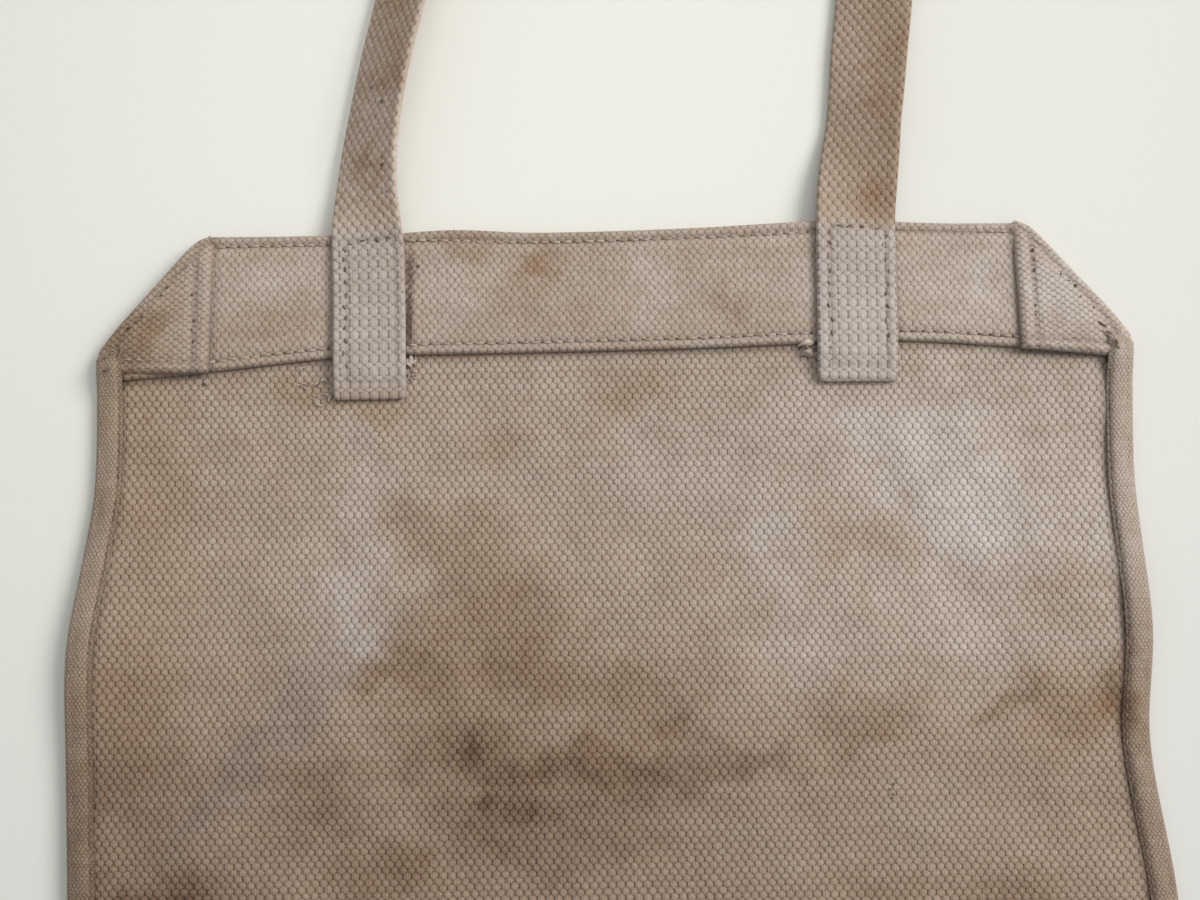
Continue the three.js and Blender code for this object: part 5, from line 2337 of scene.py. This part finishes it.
        # Painted shade along both edges, the sewing beside them and the mouth hem's edge
        seam = 0.55 * bell(edge, 1.0) + 0.35 * bell(edge - 3.6, 0.9)
        seam = np.clip(seam + 0.4 * bell(into - 24.2, 0.7), 0, 1)
        marks = pack_marks(run, up)
        # Paler near the wall's top edge and darker over its lower half, down to the floor
        paler_up_darker_down = 0.35 * smooth(0.8, 0.97, share) - 0.4 * (1 - smooth(0.0, 0.5, share))
        marks = marks._replace(tone=marks.tone + paler_up_darker_down, warm=marks.warm - 0.5 * paler_up_darker_down, seam=seam)
        return Sheet.walled(skin, self.wall, rounding(into, 1.0), joined(run, up), marks)

    def sew(self) -> None:
        """Sews along the front's edge, both edges of the wall, and the hem at the mouth."""
        run = np.linspace(6, self.outline_run - 6, 900)
        at = self.outline(run)
        off = 2.8
        x, y = at.x - at.out_x * off, at.y - at.out_y * off
        level = joined(at.out_x, at.out_y, 0.0)
        edge_row = joined(x, y, self.front_skin(x, y))
        self.sewing.row(self.slump(edge_row), 0.74 * level + 0.67 * UP)
        for share in (0.045, 0.955):
            self.sewing.row(self.slump(self.gusset_point(run, share)), level)
        across = np.linspace(-157, 157, 300)
        up = np.linspace(0.08, 0.92, 60)
        for into in self.mouth_rows:
            y = np.full_like(across, -into)
            self.sewing.row(self.slump(joined(across, y, self.front_skin(across, y))), UP)
            for start, way in ((into, -1.0), (self.outline_run - into, 1.0)):
                upright = self.slump(self.gusset_point(start, up))
                self.sewing.row(upright, np.array([[way, 0.0, 0.0]]))

    def closing_buckle(self, side: Side) -> BuckleSet:
        """The buckle that a closing strap goes into, lying on the front near the base.

        Args:
            side: which strap's.

        Returns:
            The buckle and its tab.
        """

        def point(dx: float, dy: float) -> Array:
            """A point on the front, off the tab's start."""
            x, y = side.value * self.closing_x + dx, self.closing_y + dy
            return self.slump(np.array([x, y, float(self.front_height(np.array(x), np.array(y)))]))

        middle = self.tab / 2
        ahead = unit(point(0, middle + 5) - point(0, middle - 5))
        out = unit(np.cross(point(5, middle) - point(-5, middle), ahead))
        seat = point(0, middle) - ahead * middle
        return self._buckle(f"closing_{side.word}", "front_panel_cloth", seat, ahead, out, 3)

    def shoulder_buckle(self, side: Side, end: str, y: float, toward: int) -> BuckleSet:
        """A buckle that a shoulder strap goes into, on a side wall.

        Args:
            side: which side.
            end: its name, for the end of the pack that it is near.
            y: where its tab starts.
            toward: which way along the pack it lies.

        Returns:
            The buckle and its tab.
        """
        middle = y + toward * self.tab / 2

        def point(dy: float, dv: float) -> Array:
            """A point on the wall, off the tab's middle."""
            run = -(middle + dy) if side is Side.LEFT else self.outline_run + middle + dy
            return self.slump(self.gusset_point(run, self.shoulder_height + dv, detail=False))

        ahead = unit(point(5, 0) - point(-5, 0)) * toward
        out = unit(np.cross(ahead, point(0, 0.05) - point(0, -0.05))) * side.value * toward
        seat = point(0, 0) - ahead * self.tab / 2
        return self._buckle(f"shoulder_{end}_{side.word}", f"side_{side.word}_cloth", seat, ahead, out, 2)

    @staticmethod
    def _buckle(name: str, on: str, seat: Array, ahead: Array, out: Array, bars: int) -> BuckleSet:
        """A buckle with its axes made square to each other."""
        across = unit(np.cross(out, ahead))
        return BuckleSet(name, on, seat, np.stack([np.cross(across, out), across, out]), bars)

    def buckles(self) -> list[BuckleSet]:
        """All six buckles on the body.

        Returns:
            The buckles.
        """
        found = [self.closing_buckle(side) for side in Side]
        for end, y, toward in (("top", -96.0, 1), ("base", -284.0, -1)):
            found += [self.shoulder_buckle(side, end, y, toward) for side in Side]
        return found

    def build(self, finishes: Finishes) -> None:
        """Builds and dresses the body's panels and their sewing.

        Args:
            finishes: the shared materials.
        """
        seam = self.side_run + self.corner_run / 2
        down = np.concatenate([edged(8, 28.0, 1.2)[:-1], np.linspace(28, seam - self.gap, 120)])
        cut_runs = {
            "side_left": down,
            "base_panel": np.linspace(seam + self.gap, self.outline_run - seam - self.gap, 130),
            "side_right": (self.outline_run - down)[::-1],
        }
        front = self.front().build("front_panel_cloth")
        dress(front, finishes.webbing, "front_panel")
        back = self.back().build("back_panel_cloth")
        dress(back, finishes.webbing, "back_panel")
        for node, runs in cut_runs.items():
            wall = self.gusset(runs).build(f"{node}_cloth")
            dress(wall, finishes.webbing, node)
        self.sew()
        self.sewing.build("body", finishes, Slot.WEBBING)


@dataclass
class Studio:
    """The floor, the light and the camera."""

    camera_place: Point = (-5.4, 186.2, 569.9)
    tilt: float = 10.85
    roll: float = -1.005
    focal: float = 54.0
    sensor: float = 36.0
    lit: Point = (0.0, 0.12, 0.0)

    def camera(self) -> None:
        """Sets the camera over the flap, leaning towards the straps, at the photograph's angle."""
        data = bpy.data.cameras.new("camera")
        data.lens = self.focal
        data.sensor_width = self.sensor
        data.clip_start = 0.01
        made = bpy.data.objects.new("camera", data)
        bpy.context.scene.collection.objects.link(made)
        lean = Matrix.Rotation(np.radians(self.tilt), 4, "X")
        roll = Matrix.Rotation(np.radians(self.roll), 4, "Z")
        place = to_frame(np.array(self.camera_place))
        made.matrix_world = Matrix.Translation(Vector(place.tolist())) @ lean @ roll
        bpy.context.scene.camera = made

    def floor(self) -> None:
        """Lays a large plain floor just under the part."""
        half, below = 9000.0, -0.05
        corners = joined(half * np.array([-1, 1, 1, -1]), half * np.array([-1, -1, 1, 1]), below)
        made = put_mesh("floor", corners, np.array([[0, 1, 2, 3]]), {})
        made.data.materials.append(FloorFinish().material())

    def lamp(self, name: str, place: Point, size: float, power: float, colour: Point) -> None:
        """Adds a square lamp that looks at the flap.

        Args:
            name: the lamp's name.
            place: where it stands, in metres.
            size: its side, in metres.
            power: in watts.
            colour: its colour.
        """
        data = bpy.data.lights.new(name, "AREA")
        data.shape = "SQUARE"
        data.size = size
        data.energy = power
        data.color = colour
        made = bpy.data.objects.new(name, data)
        bpy.context.scene.collection.objects.link(made)
        aim = Vector(self.lit) - Vector(place)
        turn = aim.to_track_quat("-Z", "Y").to_matrix().to_4x4()
        made.matrix_world = Matrix.Translation(Vector(place)) @ turn

    def light(self) -> None:
        """Soft light all round, with more of it from the right."""
        world = bpy.data.worlds.new("studio")
        world.use_nodes = True
        sky = world.node_tree.nodes["Background"]
        sky.inputs["Color"].default_value = (0.975, 0.99, 1.0, 1.0)
        sky.inputs["Strength"].default_value = 0.45
        bpy.context.scene.world = world
        self.lamp("key", (2.0, 0.98, 1.9), 1.5, 76.0, (1.0, 0.98, 0.95))
        self.lamp("top", (0.1, 0.5, 2.4), 1.8, 12.0, (1.0, 0.985, 0.955))

    def build(self) -> None:
        """Builds the studio."""
        view = bpy.context.scene.view_settings
        view.view_transform = "Standard"
        view.look = "None"
        self.camera()
        self.floor()
        self.light()


def main() -> None:
    """Builds the rucksack's looks piece by piece."""
    logging.basicConfig(level=logging.INFO, format="%(name)s: %(message)s")
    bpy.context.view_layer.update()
    Studio().build()
    finishes = Finishes.make()
    Flap().build(finishes)
    ClosingStrap(Side.LEFT, width=23.5).build(finishes)
    ClosingStrap(Side.RIGHT, width=25.8, sewn_to=366.4).build(finishes)
    LooseFibres().build(finishes)
    body = PackBody()
    body.build(finishes)
    for buckle in body.buckles():
        buckle.build(finishes)


if __name__ == "__main__":
    main()
